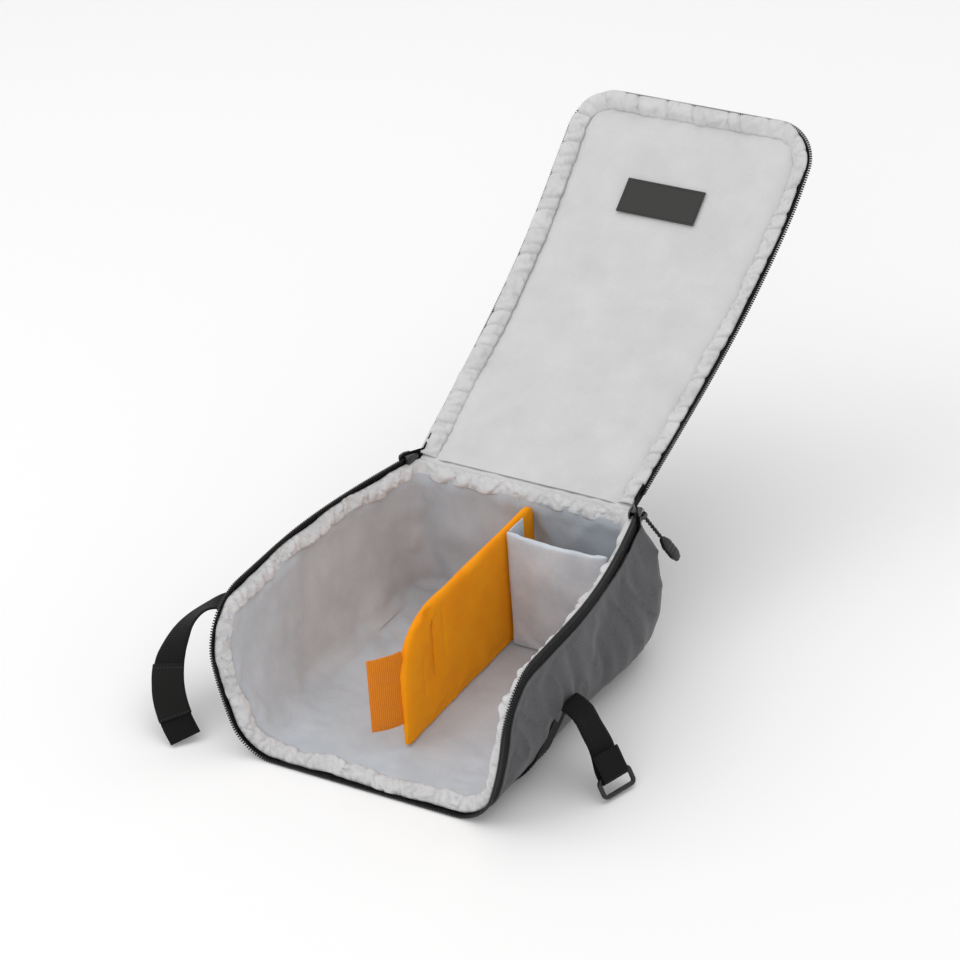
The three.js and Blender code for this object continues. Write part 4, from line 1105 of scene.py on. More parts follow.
def lid_binding():
    """The lid's bound edge: a puffy strip gathered round the corners."""
    # It rolls over the zip's edge, but draws back from it down the right side.
    edges = {spot: lid_edge(*spot, 1.5, 1.3) for spot in ((0, 0.3), (6, 0.3), (0, 1.6), (6, 1.6))}
    run = run_lengths(edges[0, 0.3])
    total = run[-1]
    drawn = smooth((edges[0, 0.3][:, 0] - 72) / 30)[:, None]
    mix = (0.9 + 0.8 * ripple_run(run, 0, (40, 1), 51)[:, None] + 3.0 * drawn) / 6
    over = edges[0, 0.3] + (edges[6, 0.3] - edges[0, 0.3]) * mix
    beside = edges[0, 1.6] + (edges[6, 1.6] - edges[0, 1.6]) * mix
    start = over + (beside - over) * drawn
    end = lid_edge(LID_BINDING_IN + 1, 3.0, 1.5, 1.3)
    shares = np.linspace(0, 1, 12)
    grid = start[:, None, :] + (end - start)[:, None, :] * shares[None, :, None]
    tangent = np.gradient(grid, axis=0)
    out = unit(np.cross(tangent, (end - start)[:, None, :]))
    facing = np.array([0, -0.6, 0.8])
    out = out * np.sign(np.sum(out * facing, axis=-1, keepdims=True))
    body = np.sin(math.pi * shares)[None] ** 0.6
    place_run = run[:, None] + 0 * shares[None]
    corner = smooth(1 - np.abs(place_run - 352) / 60) + smooth(1 - np.abs(place_run - (total - 352)) / 60)
    wide = ripple_run(place_run, 0 * place_run, (26, 1), 52)
    pleat = ripple_run(place_run + 8 * shares[None], shares[None] * 7, (7, 9), 53)
    pinch = pinches(place_run + 5 * shares[None], 23, 54)
    settled = 0.35 + 0.65 * smooth(np.minimum(place_run, total - place_run) / 14)
    lift = body * settled * (3.3 + 0.8 * wide + (0.6 + 0.7 * corner) * pleat - (2.0 + 0.8 * corner) * pinch)
    grid = grid + out * lift[..., None]
    inner = unit(end - start)[:, None, :]
    slack = shares[None] * (0.9 * wide + 0.4 * pleat) + (1 - shares[None]) * 1.3 * pinch
    grid = grid + inner * slack[..., None]
    piece = grid_piece("lid_edge_binding", grid)
    held = np.zeros(grid.shape[:2], bool)
    held[:, [0, -1]] = True
    held[[0, -1]] = True
    settle(piece, held.ravel(), 0.12, 0.0, 2.4, 0.02)
    thicken(piece, 0.9)
    finish_piece(
        piece, MATERIALS["binding"], None, ["lid_binding", "flap_binding"], smooth_all=True
    )
    return bend_with_lid(piece)


def lid_tape():
    start = LID_ZIP_START - TAPE_END
    lines = (lid_edge(1.4, 2.2, start), lid_edge(11.5, 2.7, start))
    piece = tape_strip("lid_zip_tape", lines, 0.8, 0.1, 55)
    finish_piece(
        piece, MATERIALS["tape"], None, ["right_lid_tape", "left_lid_tape", "flap_tape"]
    )
    return bend_with_lid(piece)


def lid_coil():
    start = LID_ZIP_START - TAPE_END
    middle, inner, deeper = lid_edge(1.0, 2.0, start), lid_edge(2.5, 2.0, start), lid_edge(1.0, 3.0, start)
    lengths = run_lengths(middle)
    spots = np.arange(2, lengths[-1] - 2, COIL_PITCH)
    teeth = coil_piece("lid_coil", middle, inner, deeper, spots, lengths)
    edit(teeth, face_outwards)
    finish_piece(
        teeth,
        MATERIALS["coil"],
        None,
        ["right_lid_chain", "left_lid_chain", "flap_chain"],
        smooth_all=True,
    )
    return bend_with_lid(teeth)


LABEL_WIDTH = 68
LABEL_HEIGHT = 30
LABEL_ALONG = 271
LABEL_SHIFT = -4


def label_point(along, across, lift):
    """A place on the lid's label: along and across from its middle."""
    sag = 0.5 * np.sin((np.asarray(across) / LABEL_WIDTH + 0.5) * math.pi * 2.2)
    edge = (np.abs(np.asarray(along)) / (LABEL_HEIGHT / 2)) ** 6
    return lid_point(LABEL_ALONG + along, LABEL_SHIFT + across, 0.7 - lift - 0.35 * sag * (1 - edge))


def lid_label():
    along, across = np.meshgrid(
        np.linspace(-LABEL_HEIGHT / 2, LABEL_HEIGHT / 2, 17),
        np.linspace(-LABEL_WIDTH / 2, LABEL_WIDTH / 2, 33),
        indexing="ij",
    )
    piece = grid_piece("lid_woven_label", label_point(along, across, 0.5))
    thicken(piece, 0.8)
    return finish_piece(piece, MATERIALS["label"], "lid_flap", ["lid_label"])


# ---- Sewing thread ----


def stitch_piece(name, line, pitch, size, material, body):
    """A row of thread stitches along a line: short raised beads that dive into the cloth at their ends."""
    lengths = run_lengths(line)
    spots = np.arange(pitch / 2, lengths[-1], pitch)
    points, faces = [], []
    for spot in spots:
        ends = at_spots(line, lengths, np.array([spot - pitch * 0.36, spot + pitch * 0.36]))
        axis = unit(ends[1] - ends[0])
        side = unit(np.cross(axis, np.array([0.31, 0.2, 0.93])))
        rise = np.cross(axis, side)
        first = len(points)
        for share, wide in ((0, 0.35), (0.2, 0.9), (0.5, 1.0), (0.8, 0.9), (1, 0.35)):
            centre = ends[0] + (ends[1] - ends[0]) * share
            for k in range(5):
                angle = 2 * math.pi * k / 5
                points.append(centre + (side * math.cos(angle) + rise * math.sin(angle)) * size * wide / 2)
        faces += (quads(5, 5, False, True) + first).tolist()
        faces.append([first + k for k in range(5)][::-1])
        faces.append([first + 20 + k for k in range(5)])
    piece = new_piece(name, np.array(points), faces)
    edit(piece, face_outwards)
    return finish_piece(piece, material, body, smooth_all=True)


def label_stitches():
    rows = []
    reach_along, reach_across = LABEL_HEIGHT / 2 - 1.6, LABEL_WIDTH / 2 - 1.6
    corners = [(-1, -1), (-1, 1), (1, 1), (1, -1), (-1, -1)]
    for (a0, b0), (a1, b1) in zip(corners, corners[1:]):
        t = np.linspace(0, 1, 40)
        rows.append(label_point((a0 + (a1 - a0) * t) * reach_along, (b0 + (b1 - b0) * t) * reach_across, 1.0))
    line = np.concatenate(rows)
    keep = np.append(True, np.linalg.norm(np.diff(line, axis=0), axis=1) > 0.01)
    stitch_piece("label_stitching", line[keep], 2.8, 0.55, MATERIALS["thread"], "lid_flap")


# ---- The hinge ----


def hinge_cloth():
    """The outer fabric runs on from the back wall to the lid, with a slack fold where it bends."""
    half_width = 84
    rows = [
        (HALF_DEPTH + 0.9, 103),
        (HALF_DEPTH + 1.3, 107),
        (HALF_DEPTH + 2.3, 110),
        (HALF_DEPTH + 4.6, 111.6),
        (HALF_DEPTH + 7.4, 112.4),
    ]
    lid_part = lid_point(np.array([6.0, 10.0, 15.0]), 0.0, 10.4)
    line = np.array([(0, y, z) for y, z in rows] + lid_part.tolist())
    fine = at_spots(line, run_lengths(line), np.linspace(0, run_lengths(line)[-1], 22))
    across = np.linspace(-half_width, half_width, 70)
    grid = fine[:, None, :] + points_of(across, 0, 0)[None]
    share = np.linspace(0, 1, 22)[:, None]
    body = np.sin(math.pi * share)
    fold = ripple(points_of(across[None] + 0 * share, share * 20, 0), (14, 20, 1), 61).reshape(22, 70)
    grid[..., 1] += 0.9 * fold * body
    grid[..., 2] -= 0.6 * fold * body
    piece = grid_piece("hinge_fabric", grid)
    thicken(piece, 1.2)
    finish_piece(piece, MATERIALS["shell"], None, ["hinge_gusset"])
    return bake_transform(piece)


def hinge_lining():
    """Inside, the lining crosses the hinge as a narrow hem between the back wall's roll and the lid."""
    points = [(0, 125.0, 113.4), (0, 125.9, 115.8), (0, 127.2, 117.3)]
    line = np.array(points + lid_point(np.array([1.0, 4.0, 8.0]), 0.0, 3.0).tolist())
    fine = at_spots(line, run_lengths(line), np.linspace(0, run_lengths(line)[-1], 14))
    across = np.linspace(-91, 91, 90)
    grid = fine[:, None, :] + points_of(across, 0, 0)[None]
    share = np.linspace(0, 1, 14)[:, None]
    fold = ripple(points_of(across[None] + 0 * share, share * 9, 0), (11, 12, 1), 63).reshape(14, 90)
    grid[..., 2] += 0.55 * fold * np.sin(math.pi * share)
    piece = grid_piece("hinge_lining_hem", grid)
    thicken(piece, 0.9)
    finish_piece(piece, MATERIALS["lid_lining"], None)
    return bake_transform(piece)


# The point of the mouth's edge, counted from the middle of the back, where the back corner is half turned.
CORNER_POINT = 52


def hinge_tapes():
    """At each end of the hinge the zip tape turns up from the body's edge to the lid's."""
    for word, sign in (("right", 1), ("left", -1)):
        edge = mouth_half(2.0, 0.4)
        low = edge[CORNER_POINT]
        rows = [low, low + np.array([-0.4, 4.5, 1.4])]
        climb = np.array([4.0, 9.0, 15.0, 20.0])
        rows += lid_point(climb, lid_reach(climb, 3.0), 2.4).tolist()
        line = np.array(rows) * np.array([sign, 1, 1])
        fine = at_spots(line, run_lengths(line), np.linspace(0, run_lengths(line)[-1], 16))
        wide = np.linspace(-1, 1, 6)
        side = unit(np.cross(np.gradient(fine, axis=0), np.array([sign, 0, 0])))
        grid = fine[:, None, :] + side[:, None, :] * wide[None, :, None] * 4.2
        piece = grid_piece(f"{word}_hinge_tape", grid)
        thicken(piece, 1.0)
        finish_piece(piece, MATERIALS["tape"], None)
        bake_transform(piece)


# ---- Straps ----


def smooth_curve(points, count):
    """A smooth curve through points, by Catmull-Rom pieces."""
    points = np.array(points, float)
    ends = np.concatenate([[2 * points[0] - points[1]], points, [2 * points[-1] - points[-2]]])
    spots = np.linspace(0, len(points) - 1, count)
    index = np.minimum(spots.astype(int), len(points) - 2)
    t = (spots - index)[:, None]
    a, b, c, d = (ends[index + k] for k in range(4))
    return 0.5 * (2 * b + (c - a) * t + (2 * a - 5 * b + 4 * c - d) * t**2 + (3 * b - a - 3 * c + d) * t**3)


def strap_piece(name, path, widths, width, thickness, count, seed=71, wave=0.12):
    """Flat webbing along a path, with soft rounded edges that waver a little."""
    line = smooth_curve(path, count)
    turns = smooth_curve(widths, count)
    tangent = unit(np.gradient(line, axis=0))
    side = unit(turns - tangent * np.sum(turns * tangent, axis=1, keepdims=True))
    face = np.cross(tangent, side)
    edge = np.linspace(-1, 1, 9)
    rounding = thickness / width
    top = [(s * (1 - rounding), 1.0) for s in edge]
    bottom = [(s, -f) for s, f in top[::-1]]
    section = np.array(top + [(1.0, 0.35), (1.0, -0.35)] + bottom + [(-1.0, -0.35), (-1.0, 0.35)])
    run = run_lengths(line)
    bend = ripple_run(run[:, None], section[None, :, 0] * width / 2, (24, 30), seed) * wave
    edge_wave = 1 + 0.012 * ripple_run(run, 0, (9, 1), seed + 1)
    grid = (
        line[:, None, :]
        + side[:, None, :] * (section[None, :, 0] * edge_wave[:, None])[..., None] * width / 2
        + face[:, None, :] * (section[None, :, 1] * thickness / 2 + bend)[..., None]
    )
    piece = tube_piece(name, grid)
    edit(piece, face_outwards)
    return piece, line, side, face


STRAP_ROOT_Y = -36
STRAP_ROOT_Z = 50
STRAP_WIDTH = 24
STRAP_THICKNESS = 1.6
ROOT_X = float(wall_x(np.array(STRAP_ROOT_Y), np.array(STRAP_ROOT_Z))) + 2.8

LEFT_PATH = [
    (-ROOT_X - 1, STRAP_ROOT_Y, STRAP_ROOT_Z + 2),
    (-140, -38, 63),
    (-159, -46, 70),
    (-173, -57, 68),
    (-181, -71, 61),
    (-182, -86, 53),
    (-179, -102, 43),
    (-171, -117, 28.5),
    (-160, -127, 15),
    (-148, -133.5, 4.5),
]
LEFT_WIDTHS = [
    (0, 1, 0),
    (-0.1, 0.98, 0.15),
    (-0.3, 0.93, 0.05),
    (-0.58, 0.7, -0.35),
    (-0.82, 0.33, -0.42),
    (-0.95, 0.05, -0.3),
    (-0.97, -0.2, -0.1),
    (-0.9, -0.4, 0),
    (-0.82, -0.57, 0),
    (-0.78, -0.62, 0),
]


def left_strap():
    piece, line, side, face = strap_piece(
        "left_strap_web", LEFT_PATH, LEFT_WIDTHS, STRAP_WIDTH, STRAP_THICKNESS, 110
    )
    finish_piece(piece, MATERIALS["webbing"], "left_strap", ["left_strap_webbing"])
    # The label wraps the upper face, and the end is folded back under it and sewn down.
    label_rows = slice(73, 98)
    label_path = line[label_rows] - face[label_rows] * 1.5
    label, *_ = strap_piece(
        "left_strap_patch", label_path[::4], side[label_rows][::4], STRAP_WIDTH + 1.0, 0.9, 40, 75, 0.05
    )
    finish_piece(label, MATERIALS["patch"], "left_strap", ["left_strap_label"])
    end_rows = slice(86, 110)
    end_path = line[end_rows] + face[end_rows] * 1.55
    fold, *_ = strap_piece(
        "left_strap_turned_end", end_path[::4], side[end_rows][::4], STRAP_WIDTH - 0.4, 1.3, 40, 77, 0.05
    )
    finish_piece(fold, MATERIALS["webbing"], "left_strap", ["left_strap_fold"])
    for row, name in ((75, "upper"), (96, "lower")):
        across = np.linspace(-11.5, 11.5, 24)[:, None]
        stitch_line = line[row] - face[row] * 2.0 + side[row] * across
        stitches = f"left_patch_{name}_stitches"
        stitch_piece(stitches, stitch_line, 2.6, 0.5, MATERIALS["thread"], "left_strap")


RING_BAR = np.array([164.7, -51, 14.2])
RING_ACROSS = unit(np.array([0.31, 0.95, 0]))
RING_DOWN = np.array([0.45, -0.3, -0.84])
RING_DOWN = unit(RING_DOWN - RING_ACROSS * float(RING_DOWN @ RING_ACROSS))
RING_FACE = np.cross(RING_DOWN, RING_ACROSS)
LOOP_RADIUS = 3.15


def on_ring(down, face, across=0.0):
    return RING_BAR + RING_DOWN * down + RING_FACE * face + RING_ACROSS * across


def right_strap():
    path = [
        (ROOT_X + 1, STRAP_ROOT_Y - 1, STRAP_ROOT_Z + 2),
        (124, -37, 56),
        (135.4, -39, 51.5),
        (144.3, -42, 41.5),
        (152.6, -45, 31),
        on_ring(-4.5, -LOOP_RADIUS),
    ]
    widths = [(0, 1, 0), (0, 1, 0), (0.05, 1, 0), (0.1, 1, 0), (0.2, 0.97, 0), RING_ACROSS]
    piece, *_ = strap_piece("right_strap_web", path, widths, STRAP_WIDTH, STRAP_THICKNESS, 70, 81)
    finish_piece(piece, MATERIALS["webbing"], "right_strap", ["right_strap_webbing"])
    angles = np.radians(np.linspace(-90, 90, 7))
    turn = [on_ring(LOOP_RADIUS * math.cos(a), LOOP_RADIUS * math.sin(a)) for a in angles]
    loop_path = [
        on_ring(-5.6, -LOOP_RADIUS - 0.1),
        *turn,
        on_ring(-8, LOOP_RADIUS - 0.3),
        on_ring(-18, LOOP_RADIUS - 0.6),
    ]
    ways = [RING_ACROSS] * len(loop_path)
    loop, *_ = strap_piece(
        "right_strap_ring_loop", loop_path, ways, STRAP_WIDTH, STRAP_THICKNESS, 60, 83, 0.05
    )
    finish_piece(loop, MATERIALS["webbing"], "right_strap", ["right_strap_loop"])


def ring_piece():
    """A moulded rectangular ring of rounded square section."""
    wire, half_wide, pitch, corner = 1.6, 14.5, 12.5, 3.0
    line = []
    for cx, cy, first in (
        (half_wide - corner, -corner, 0),
        (-half_wide + corner, -corner, 90),
        (-half_wide + corner, -pitch + corner, 180),
        (half_wide - corner, -pitch + corner, 270),
    ):
        for a in np.radians(np.linspace(first, first + 90, 9)):
            line.append((cx + corner * math.cos(a), cy + corner * math.sin(a)))
    line = np.array(line)
    closed = np.concatenate([line, line[:1]])
    lengths = run_lengths(closed)
    spots = np.linspace(0, lengths[-1], 121)[:-1]
    even = np.stack([np.interp(spots, lengths, closed[:, k]) for k in range(2)], -1)
    tangent = unit(np.roll(even, -1, axis=0) - np.roll(even, 1, axis=0))
    out = np.stack([tangent[:, 1], -tangent[:, 0]], -1)
    angles = np.radians(np.arange(0, 360, 30))
    squareness = 4.0
    spread = np.abs(np.cos(angles)) ** squareness + np.abs(np.sin(angles)) ** squareness
    radius = wire / spread ** (1 / squareness)
    flat, deep = radius * np.cos(angles), radius * np.sin(angles)
    plane = even[:, None, :] + out[:, None, :] * flat[None, :, None]
    grid = (
        RING_BAR
        + RING_ACROSS * plane[..., :1]
        - RING_DOWN * plane[..., 1:]
        + RING_FACE * (deep[None, :, None] + 0 * plane[..., :1])
    )
    piece = tube_piece("strap_rectangular_ring", grid, rows_closed=True)
    edit(piece, face_outwards)
    return finish_piece(
        piece, MATERIALS["plastic"], "strap_ring", ["strap_ring"], smooth_all=True
    )


def strap_bases():
    """Webbing sewn flat on each wall, from the strap's root to the base seam, with two rows of stitches."""
    for word, sign in (("right", 1), ("left", -1)):
        steps = np.linspace(0, 1, 50)
        middle_y = STRAP_ROOT_Y + (-66 - STRAP_ROOT_Y) * steps
        level = np.where(
            steps < 0.6,
            STRAP_ROOT_Z + 3 + (FRONT_BASE_RADIUS - STRAP_ROOT_Z - 3) * steps / 0.6,
            -0.05 - 0.55 * (steps - 0.6) / 0.4,
        )
        shares = np.linspace(-1, 1, 9)

        def on_wall(depth, share):
            y = middle_y[:, None] + share[None] * STRAP_WIDTH / 2
            level_grid = level[:, None] + 0 * y
            return shell_inside(along_at(y, level_grid), level_grid, depth) * np.array([sign, 1, 1])

        grid = on_wall(-2.0, shares)
        piece = grid_piece(f"{word}_strap_base", grid)
        thicken(piece, 1.5)
        finish_piece(piece, MATERIALS["anchor"], "case", [f"{word}_strap_anchor"])
        for k, share in enumerate((-0.84, 0.84)):
            line = on_wall(-2.95, np.array([share]))[:, 0]
            stitch_piece(f"{word}_base_stitches_{k}", line, 3.0, 0.5, MATERIALS["thread"], "case")


# ---- Zip sliders and pulls ----

SLIDER_X = 98.5
SLIDER_Y = 121
SLIDE_ANGLE = math.atan(0.2345)


def slider_frame(sign):
    """Turns points from the slider's own axes: out from the wall, along the zip and up."""
    turn = Matrix.Rotation(sign * SLIDE_ANGLE, 3, "Z")

    def place(points):
        flipped = np.asarray(points, float).reshape(-1, 3) * np.array([sign, 1, 1])
        return flipped @ np.array(turn).T + np.array([sign * SLIDER_X, SLIDER_Y, 0])

    return place


def plate_outline(length, height, low):
    """A slider plate: shield shaped, wide at its mouth and waisted to its tail. Columns are along and up."""
    half = length / 2
    return [
        (-half, low + height * 0.22),
        (-half * 0.86, low + height * 0.05),
        (-half * 0.2, low),
        (half * 0.45, low + height * 0.1),
        (half * 0.95, low + height * 0.3),
        (half, low + height * 0.5),
        (half * 0.95, low + height * 0.72),
        (half * 0.4, low + height * 0.93),
        (-half * 0.2, low + height),
        (-half * 0.86, low + height * 0.95),
        (-half, low + height * 0.78),
    ]


def plate_form(outline, inner, outer):
    count = len(outline)
    points = [(inner, a, b) for a, b in outline] + [(outer, a, b) for a, b in outline]
    faces = [list(range(count))[::-1], list(range(count, 2 * count))]
    faces += [[k, (k + 1) % count, (k + 1) % count + count, k + count] for k in range(count)]
    return points, faces


def bevelled(piece, width, segments=3):
    edit(piece, face_outwards)
    limit = {"limit_method": "ANGLE", "angle_limit": math.radians(25)}
    return with_modifier(piece, "BEVEL", width=width * MM, segments=segments, **limit)


def round_bar(name, line, radius, sides=12):
    line = np.array(line, float)
    tangent = unit(np.gradient(line, axis=0))
    side = unit(np.cross(tangent, np.array([0.37, 0.61, 0.7])))
    rise = np.cross(tangent, side)
    angles = np.linspace(0, 2 * math.pi, sides, endpoint=False)
    radii = np.asarray(radius, float) * np.ones(len(line))
    ring = side[:, None, :] * np.cos(angles)[None, :, None] + rise[:, None, :] * np.sin(angles)[None, :, None]
    piece = tube_piece(name, line[:, None, :] + ring * radii[:, None, None])
    edit(piece, face_outwards)
    return piece


def zip_slider(word, sign):
    place = slider_frame(sign)
    forms = []
    for inner, outer, height, low in ((2.4, 4.6, 10.6, 112.4), (-5.0, -3.4, 7.4, 116.2)):
        points, faces = plate_form(plate_outline(13, height, low), inner, outer)
        forms.append(bevelled(new_piece("plate", place(points), faces), 0.5))
    bridge, faces = plate_form([(-3.4, 120.7), (3.6, 120.7), (4.4, 122.4), (-4.4, 122.4)], -4.6, 3.9)
    forms.append(bevelled(new_piece("bridge", place(bridge), faces), 0.6))
    t = np.linspace(0, 1, 22)
    rise = np.sin(math.pi * t)
    bail = np.stack([4.0 + 3.0 * rise**0.7, -4.6 + 9.2 * t, 117.4 + 0.6 * rise], -1)
    forms.append(round_bar("bail", place(bail), 1.35))
    piece = joined(f"{word}_zip_slider", forms)
    return finish_piece(piece, MATERIALS["slider"], f"{word}_slider", [f"{word}_slider"])


def pull_axis(word):
    """The line from the slider down through the pull's cord to the grip's end, read from the model."""
    cord_low, cord_high = (np.array(p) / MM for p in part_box(f"{word}_pull_cord"))
    grip_low, grip_high = (np.array(p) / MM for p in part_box(f"{word}_pull_grip"))
    cord, grip = (cord_low + cord_high) / 2, (grip_low + grip_high) / 2
    way = unit(grip - cord)
    return cord - way * 12, way


def zip_pull(word):
    start, way = pull_axis(word)
    side = unit(np.cross(way, np.array([0.0, 1.0, 0.0])))
    other = np.cross(way, side)
    t = np.linspace(0, 1, 90)
    strands = []
    for phase in (0, math.pi):
        turn = t * 2 * math.pi * 4 + phase
        loose = 0.78 + 0.5 * np.exp(-((t / 0.1) ** 2))
        line = start + way * (t * 26 - 1)[:, None]
        line = line + (side * np.cos(turn)[:, None] + other * np.sin(turn)[:, None]) * loose[:, None]
        strands.append(round_bar("strand", line, 0.8, 10))
    head = start + (side * np.cos(np.linspace(0, math.pi, 14))[:, None] * 1.3) - way * (
        1 + 1.4 * np.sin(np.linspace(0, math.pi, 14))[:, None]
    )
    strands.append(round_bar("strand", head, 0.8, 10))
    cord = joined(f"{word}_pull_twisted_cord", strands)
    finish_piece(
        cord, MATERIALS["webbing_cord"], f"{word}_pull", [f"{word}_pull_cord"], smooth_all=True
    )
    # The grip widens to a shoulder and narrows again, with three moulded ridges on each face.
    rows = []
    for share in np.linspace(0, 1, 40):
        wide = 2.3 + 2.3 * float(smooth(share / 0.3)) - 1.9 * float(smooth((share - 0.72) / 0.28))
        deep = 1.9 + 0.6 * float(smooth(share / 0.25)) - 0.9 * float(smooth((share - 0.8) / 0.2))
        ridge = 0.3 * max(0.0, math.cos((share - 0.5) * 2 * math.pi * 6)) if 0.3 < share < 0.72 else 0.0
        if share in (0.0, 1.0):
            wide, deep = wide * 0.72, deep * 0.7
        centre = start + way * (24.2 + 23.6 * share)
        ring = []
        for angle in np.linspace(0, 2 * math.pi, 24, endpoint=False):
            c, s = math.cos(angle), math.sin(angle)
            square = (abs(c) ** 5 + abs(s) ** 5) ** -0.2
            ring.append(centre + other * c * square * wide + side * s * square * (deep + ridge))
        rows.append(ring)
    piece = tube_piece(f"{word}_pull_moulded_grip", np.array(rows))
    edit(piece, face_outwards)
    finish_piece(piece, MATERIALS["plastic"], f"{word}_pull", [f"{word}_pull_grip"])


# ---- Dividers ----

DIVIDER_X = 10
DIVIDER_THICKNESS = 7
DIVIDER_FRONT_Y = -80
DIVIDER_TOP_Z = 110
DIVIDER_FRONT_RADIUS = 44
DIVIDER_FLOOR_Z = 9.2
DIVIDER_LENGTH = HALF_DEPTH - WALL_THICKNESS - 1.5 - DIVIDER_FRONT_Y
DIVIDER_HEIGHT = DIVIDER_TOP_Z - DIVIDER_FLOOR_Z
HEEL_RADIUS = BACK_BASE_RADIUS - WALL_THICKNESS + 4
BACK_TOP_RADIUS = 12


def arc(cx, cy, radius, first, last, count):
    angles = np.radians(np.linspace(first, last, count))
    return [(cx + radius * math.cos(a), cy + radius * math.sin(a)) for a in angles]


def long_outline(inset):
    front, heel, back = DIVIDER_FRONT_RADIUS, HEEL_RADIUS, BACK_TOP_RADIUS
    end = DIVIDER_LENGTH
    foot = 4
    return (
        arc(foot, foot, foot - inset, 270, 180, 4)
        + arc(front, DIVIDER_HEIGHT - front, front - inset, 180, 90, 16)
        + arc(end - back, DIVIDER_HEIGHT - back, back - inset, 90, 0, 8)
        + arc(end - heel, heel, heel - inset, 0, -90, 8)
    )


def pad_from_outline(name, outline, thickness, voxel, place):
    """A flat board of cloth-covered foam with rounded edges, remeshed evenly so that it can swell."""
    rings = []
    half = thickness / 2
    for angle in np.radians([0, 25, 50, 75, 90]):
        inset = half * (1 - math.cos(angle))
        rings.append([(a, b, half * math.sin(angle)) for a, b in outline(inset)])
    full = [[(a, b, -c) for a, b, c in ring] for ring in rings[:0:-1]] + rings
    grid = np.array(full)
    piece = tube_piece(name, place(grid.reshape(-1, 3)).reshape(grid.shape))
    edit(piece, face_outwards)
    with_modifier(piece, "REMESH", mode="VOXEL", voxel_size=voxel * MM, use_smooth_shade=True)
    return piece


def long_divider():
    def place(points):
        x, y, z = points[:, 2], points[:, 0], points[:, 1]
        return np.stack([DIVIDER_X + x, DIVIDER_FRONT_Y + y, DIVIDER_FLOOR_Z + z], -1)

    piece = pad_from_outline("long_divider_pad", long_outline, DIVIDER_THICKNESS - 1.6, 2.2, place)
    points = places(piece)
    creases = [(-53.0, 74.0, 38.0), (-38.0, 92.0, 44.0), (-24.0, 100.0, 55.0)]
    crease = np.zeros(len(points))
    for y, top, low in creases:
        reach = smooth((points[:, 2] - low) / 8) * smooth((top + 3 - points[:, 2]) / 4)
        crease = np.maximum(crease, np.exp(-(((points[:, 1] - y) / 1.5) ** 2)) * reach)
    floor = points[:, 2] < DIVIDER_FLOOR_Z + 2
    settle(piece, (crease > 0.75) | floor, 0.012, 2.0, 1.3, 0.4)
    points = places(piece)
    side = np.sign(points[:, 0] - DIVIDER_X)
    soft = ripple(points, (20, 26, 26), 91)
    flat_face = smooth((np.abs(points[:, 0] - DIVIDER_X) - 1.5) / 1.5)
    points[:, 0] += side * flat_face * (0.5 * soft - 1.15 * crease)
    points[:, 1:] += (ripple(points, (12, 12, 12), 93) * 0.25)[:, None] * np.array([1.0, 1.0])
    set_places(piece, points)
    with_modifier(piece, "SUBSURF", levels=1)
    finish_piece(
        piece,
        MATERIALS["orange"],
        "long_divider",
        ["long_divider_cover", "long_divider_core"],
        smooth_all=True,
    )
    for k, (y, top, low) in enumerate(creases):
        face = DIVIDER_X + DIVIDER_THICKNESS / 2 - 1.0
        line = np.stack([np.full(20, face), np.full(20, y), np.linspace(low + 2, top, 20)], -1)
        thread = MATERIALS["orange_thread"]
        stitch_piece(f"divider_crease_{k}", line, 2.6, 0.45, thread, "long_divider")
        tack = np.stack([np.full(8, face + 0.2), np.full(8, y), np.linspace(top - 1, top + 5, 8)], -1)
        piece = round_bar(f"divider_tack_{k}", tack, 0.7, 8)
        finish_piece(piece, thread, "long_divider", smooth_all=True)


def divider_tab():
    """A hook-and-loop tab that turns out from the divider's front edge."""
    splay = math.radians(35)
    path = []
    for reach in np.linspace(-5, 22, 7):
        bend = splay * (0.75 + 0.35 * reach / 22)
        path.append((6.9 - reach * math.sin(bend), -80.4 - reach * math.cos(bend), 60))
    piece, line, side, face = strap_piece("divider_hook_tab", path, [(0, 0, 1)] * 7, 62, 2.2, 30, 95, 0.25)
    finish_piece(piece, MATERIALS["hooks"], "divider_tab", ["divider_tab"])
    across = np.linspace(-27, 27, 60)[:, None]
    for k, row in enumerate((3, 27)):
        stitch_line = line[row] + face[row] * 1.3 + side[row] * across
        thread = MATERIALS["orange_thread"]
        stitch_piece(f"tab_stitches_{k}", stitch_line, 2.6, 0.5, thread, "divider_tab")


CROSS_LEFT = DIVIDER_X + DIVIDER_THICKNESS / 2 + 1
CROSS_Y = 72
CROSS_THICKNESS = 4.5
CROSS_SAG = 3.4


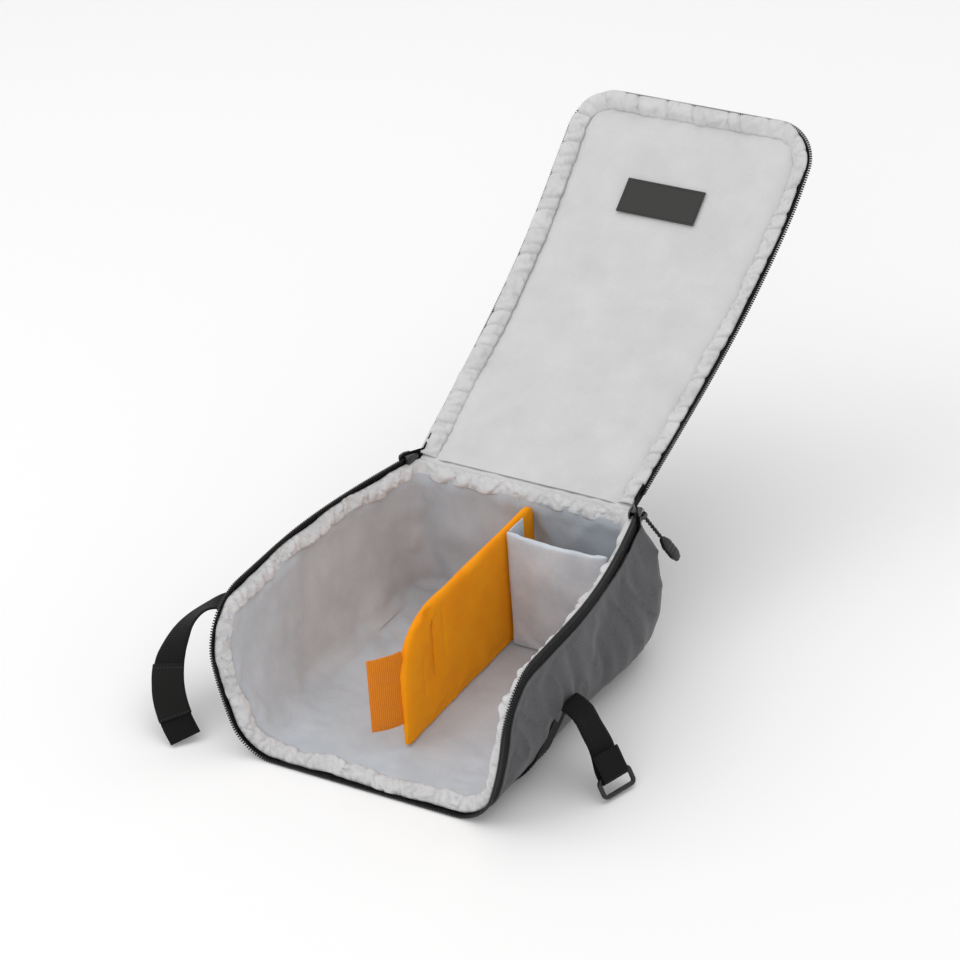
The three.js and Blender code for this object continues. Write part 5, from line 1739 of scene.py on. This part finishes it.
def cross_divider():
    clearance = WALL_THICKNESS + 3.6

    def outline(inset):
        levels = np.array([-0.75, -0.5, -0.25, *np.linspace(24, DIVIDER_TOP_Z, 10)])
        wall = shell_inside(along_at(np.full(len(levels), CROSS_Y), levels), levels, clearance + inset)
        heel_level = -0.85
        heel_along = along_at(np.array(CROSS_Y), np.array(heel_level))
        heel = shell_inside(heel_along, heel_level, clearance + inset)[..., 0] - 2.5
        points = [(inset, inset), (float(heel) - CROSS_LEFT, inset)]
        low = DIVIDER_FLOOR_Z + inset + 0.5
        high = DIVIDER_TOP_Z - inset
        points += [(p[0] - CROSS_LEFT, min(p[2], high) - DIVIDER_FLOOR_Z) for p in wall if p[2] > low]
        width = points[-1][0] - inset
        for t in np.linspace(0.08, 1, 12):
            dip = CROSS_SAG * math.sin(math.pi * t) ** 0.8
            points.append((inset + width * (1 - t), DIVIDER_HEIGHT - inset - dip))
        return points

    def place(points):
        x, y, z = points[:, 0], points[:, 2], points[:, 1]
        return np.stack([CROSS_LEFT + x, CROSS_Y + y, DIVIDER_FLOOR_Z + z], -1)

    piece = pad_from_outline("cross_divider_pad", outline, CROSS_THICKNESS - 1, 1.9, place)
    points = places(piece)
    settle(piece, points[:, 2] < DIVIDER_FLOOR_Z + 2, 0.015, 2.0, 1.0, 0.2)
    points = places(piece)
    drape = ripple(points_of(points[:, 0], 0, points[:, 2]), (11, 1, 60), 97)
    slack = ripple(points_of(points[:, 0], 0, points[:, 2]), (30, 1, 30), 98)
    high = smooth((points[:, 2] - 15) / 60)
    points[:, 1] += high * (0.55 * drape + 0.9 * slack)
    set_places(piece, points)
    with_modifier(piece, "SUBSURF", levels=1)
    finish_piece(
        piece,
        MATERIALS["satin"],
        "cross_divider",
        ["cross_divider_cover", "cross_divider_core"],
        smooth_all=True,
    )


def cross_flaps():
    """Thin flaps fold back from the cross divider's ends, and hold it to the divider and the wall."""
    low, high = DIVIDER_FLOOR_Z + 14, DIVIDER_TOP_Z - 1
    middle = (low + high) / 2
    left_path = [(15.4, CROSS_Y + dy, middle) for dy in (2.4, 6, 13, 22.6)]
    left, *_ = strap_piece("cross_left_flap", left_path, [(0, 0.02, 1)] * 4, high - low, 1.5, 26, 101, 0.3)
    finish_piece(left, MATERIALS["satin"], "cross_divider", ["cross_flap_left"])
    right_path = []
    for y in np.linspace(CROSS_Y + 5, CROSS_Y + 25, 5):
        spot = shell_inside(along_at(np.array(y), np.array(70.0)), 70.0, WALL_THICKNESS + 4.0)
        right_path.append(tuple(spot))
    right, *_ = strap_piece("cross_right_flap", right_path, [(0.02, 0, 1)] * 5, 68, 1.4, 26, 103, 0.2)
    finish_piece(right, MATERIALS["satin"], "cross_divider", ["cross_flap_right"])


# ---- Build everything ----


def set_floor():
    bpy.ops.mesh.primitive_plane_add(size=12, location=(0, 0, -0.0002))
    floor = bpy.context.object
    floor.name = "studio_floor"
    material, tree, shader = new_material("studio_floor", Roughness=0.9)
    shader.inputs["Base Color"].default_value = linear("#ffffff")
    floor.data.materials.append(material)


set_camera()
set_studio()
set_floor()
outer_shell()
padded_lining()
mouth_binding()
mouth_tape()
mouth_coil()
lid_lining()
lid_outer()
lid_binding()
lid_tape()
lid_coil()
lid_label()
label_stitches()
hinge_cloth()
hinge_lining()
hinge_tapes()
strap_bases()
left_strap()
right_strap()
ring_piece()
for side_word, side_sign in (("right", 1), ("left", -1)):
    zip_slider(side_word, side_sign)
    zip_pull(side_word)
long_divider()
divider_tab()
cross_divider()
cross_flaps()
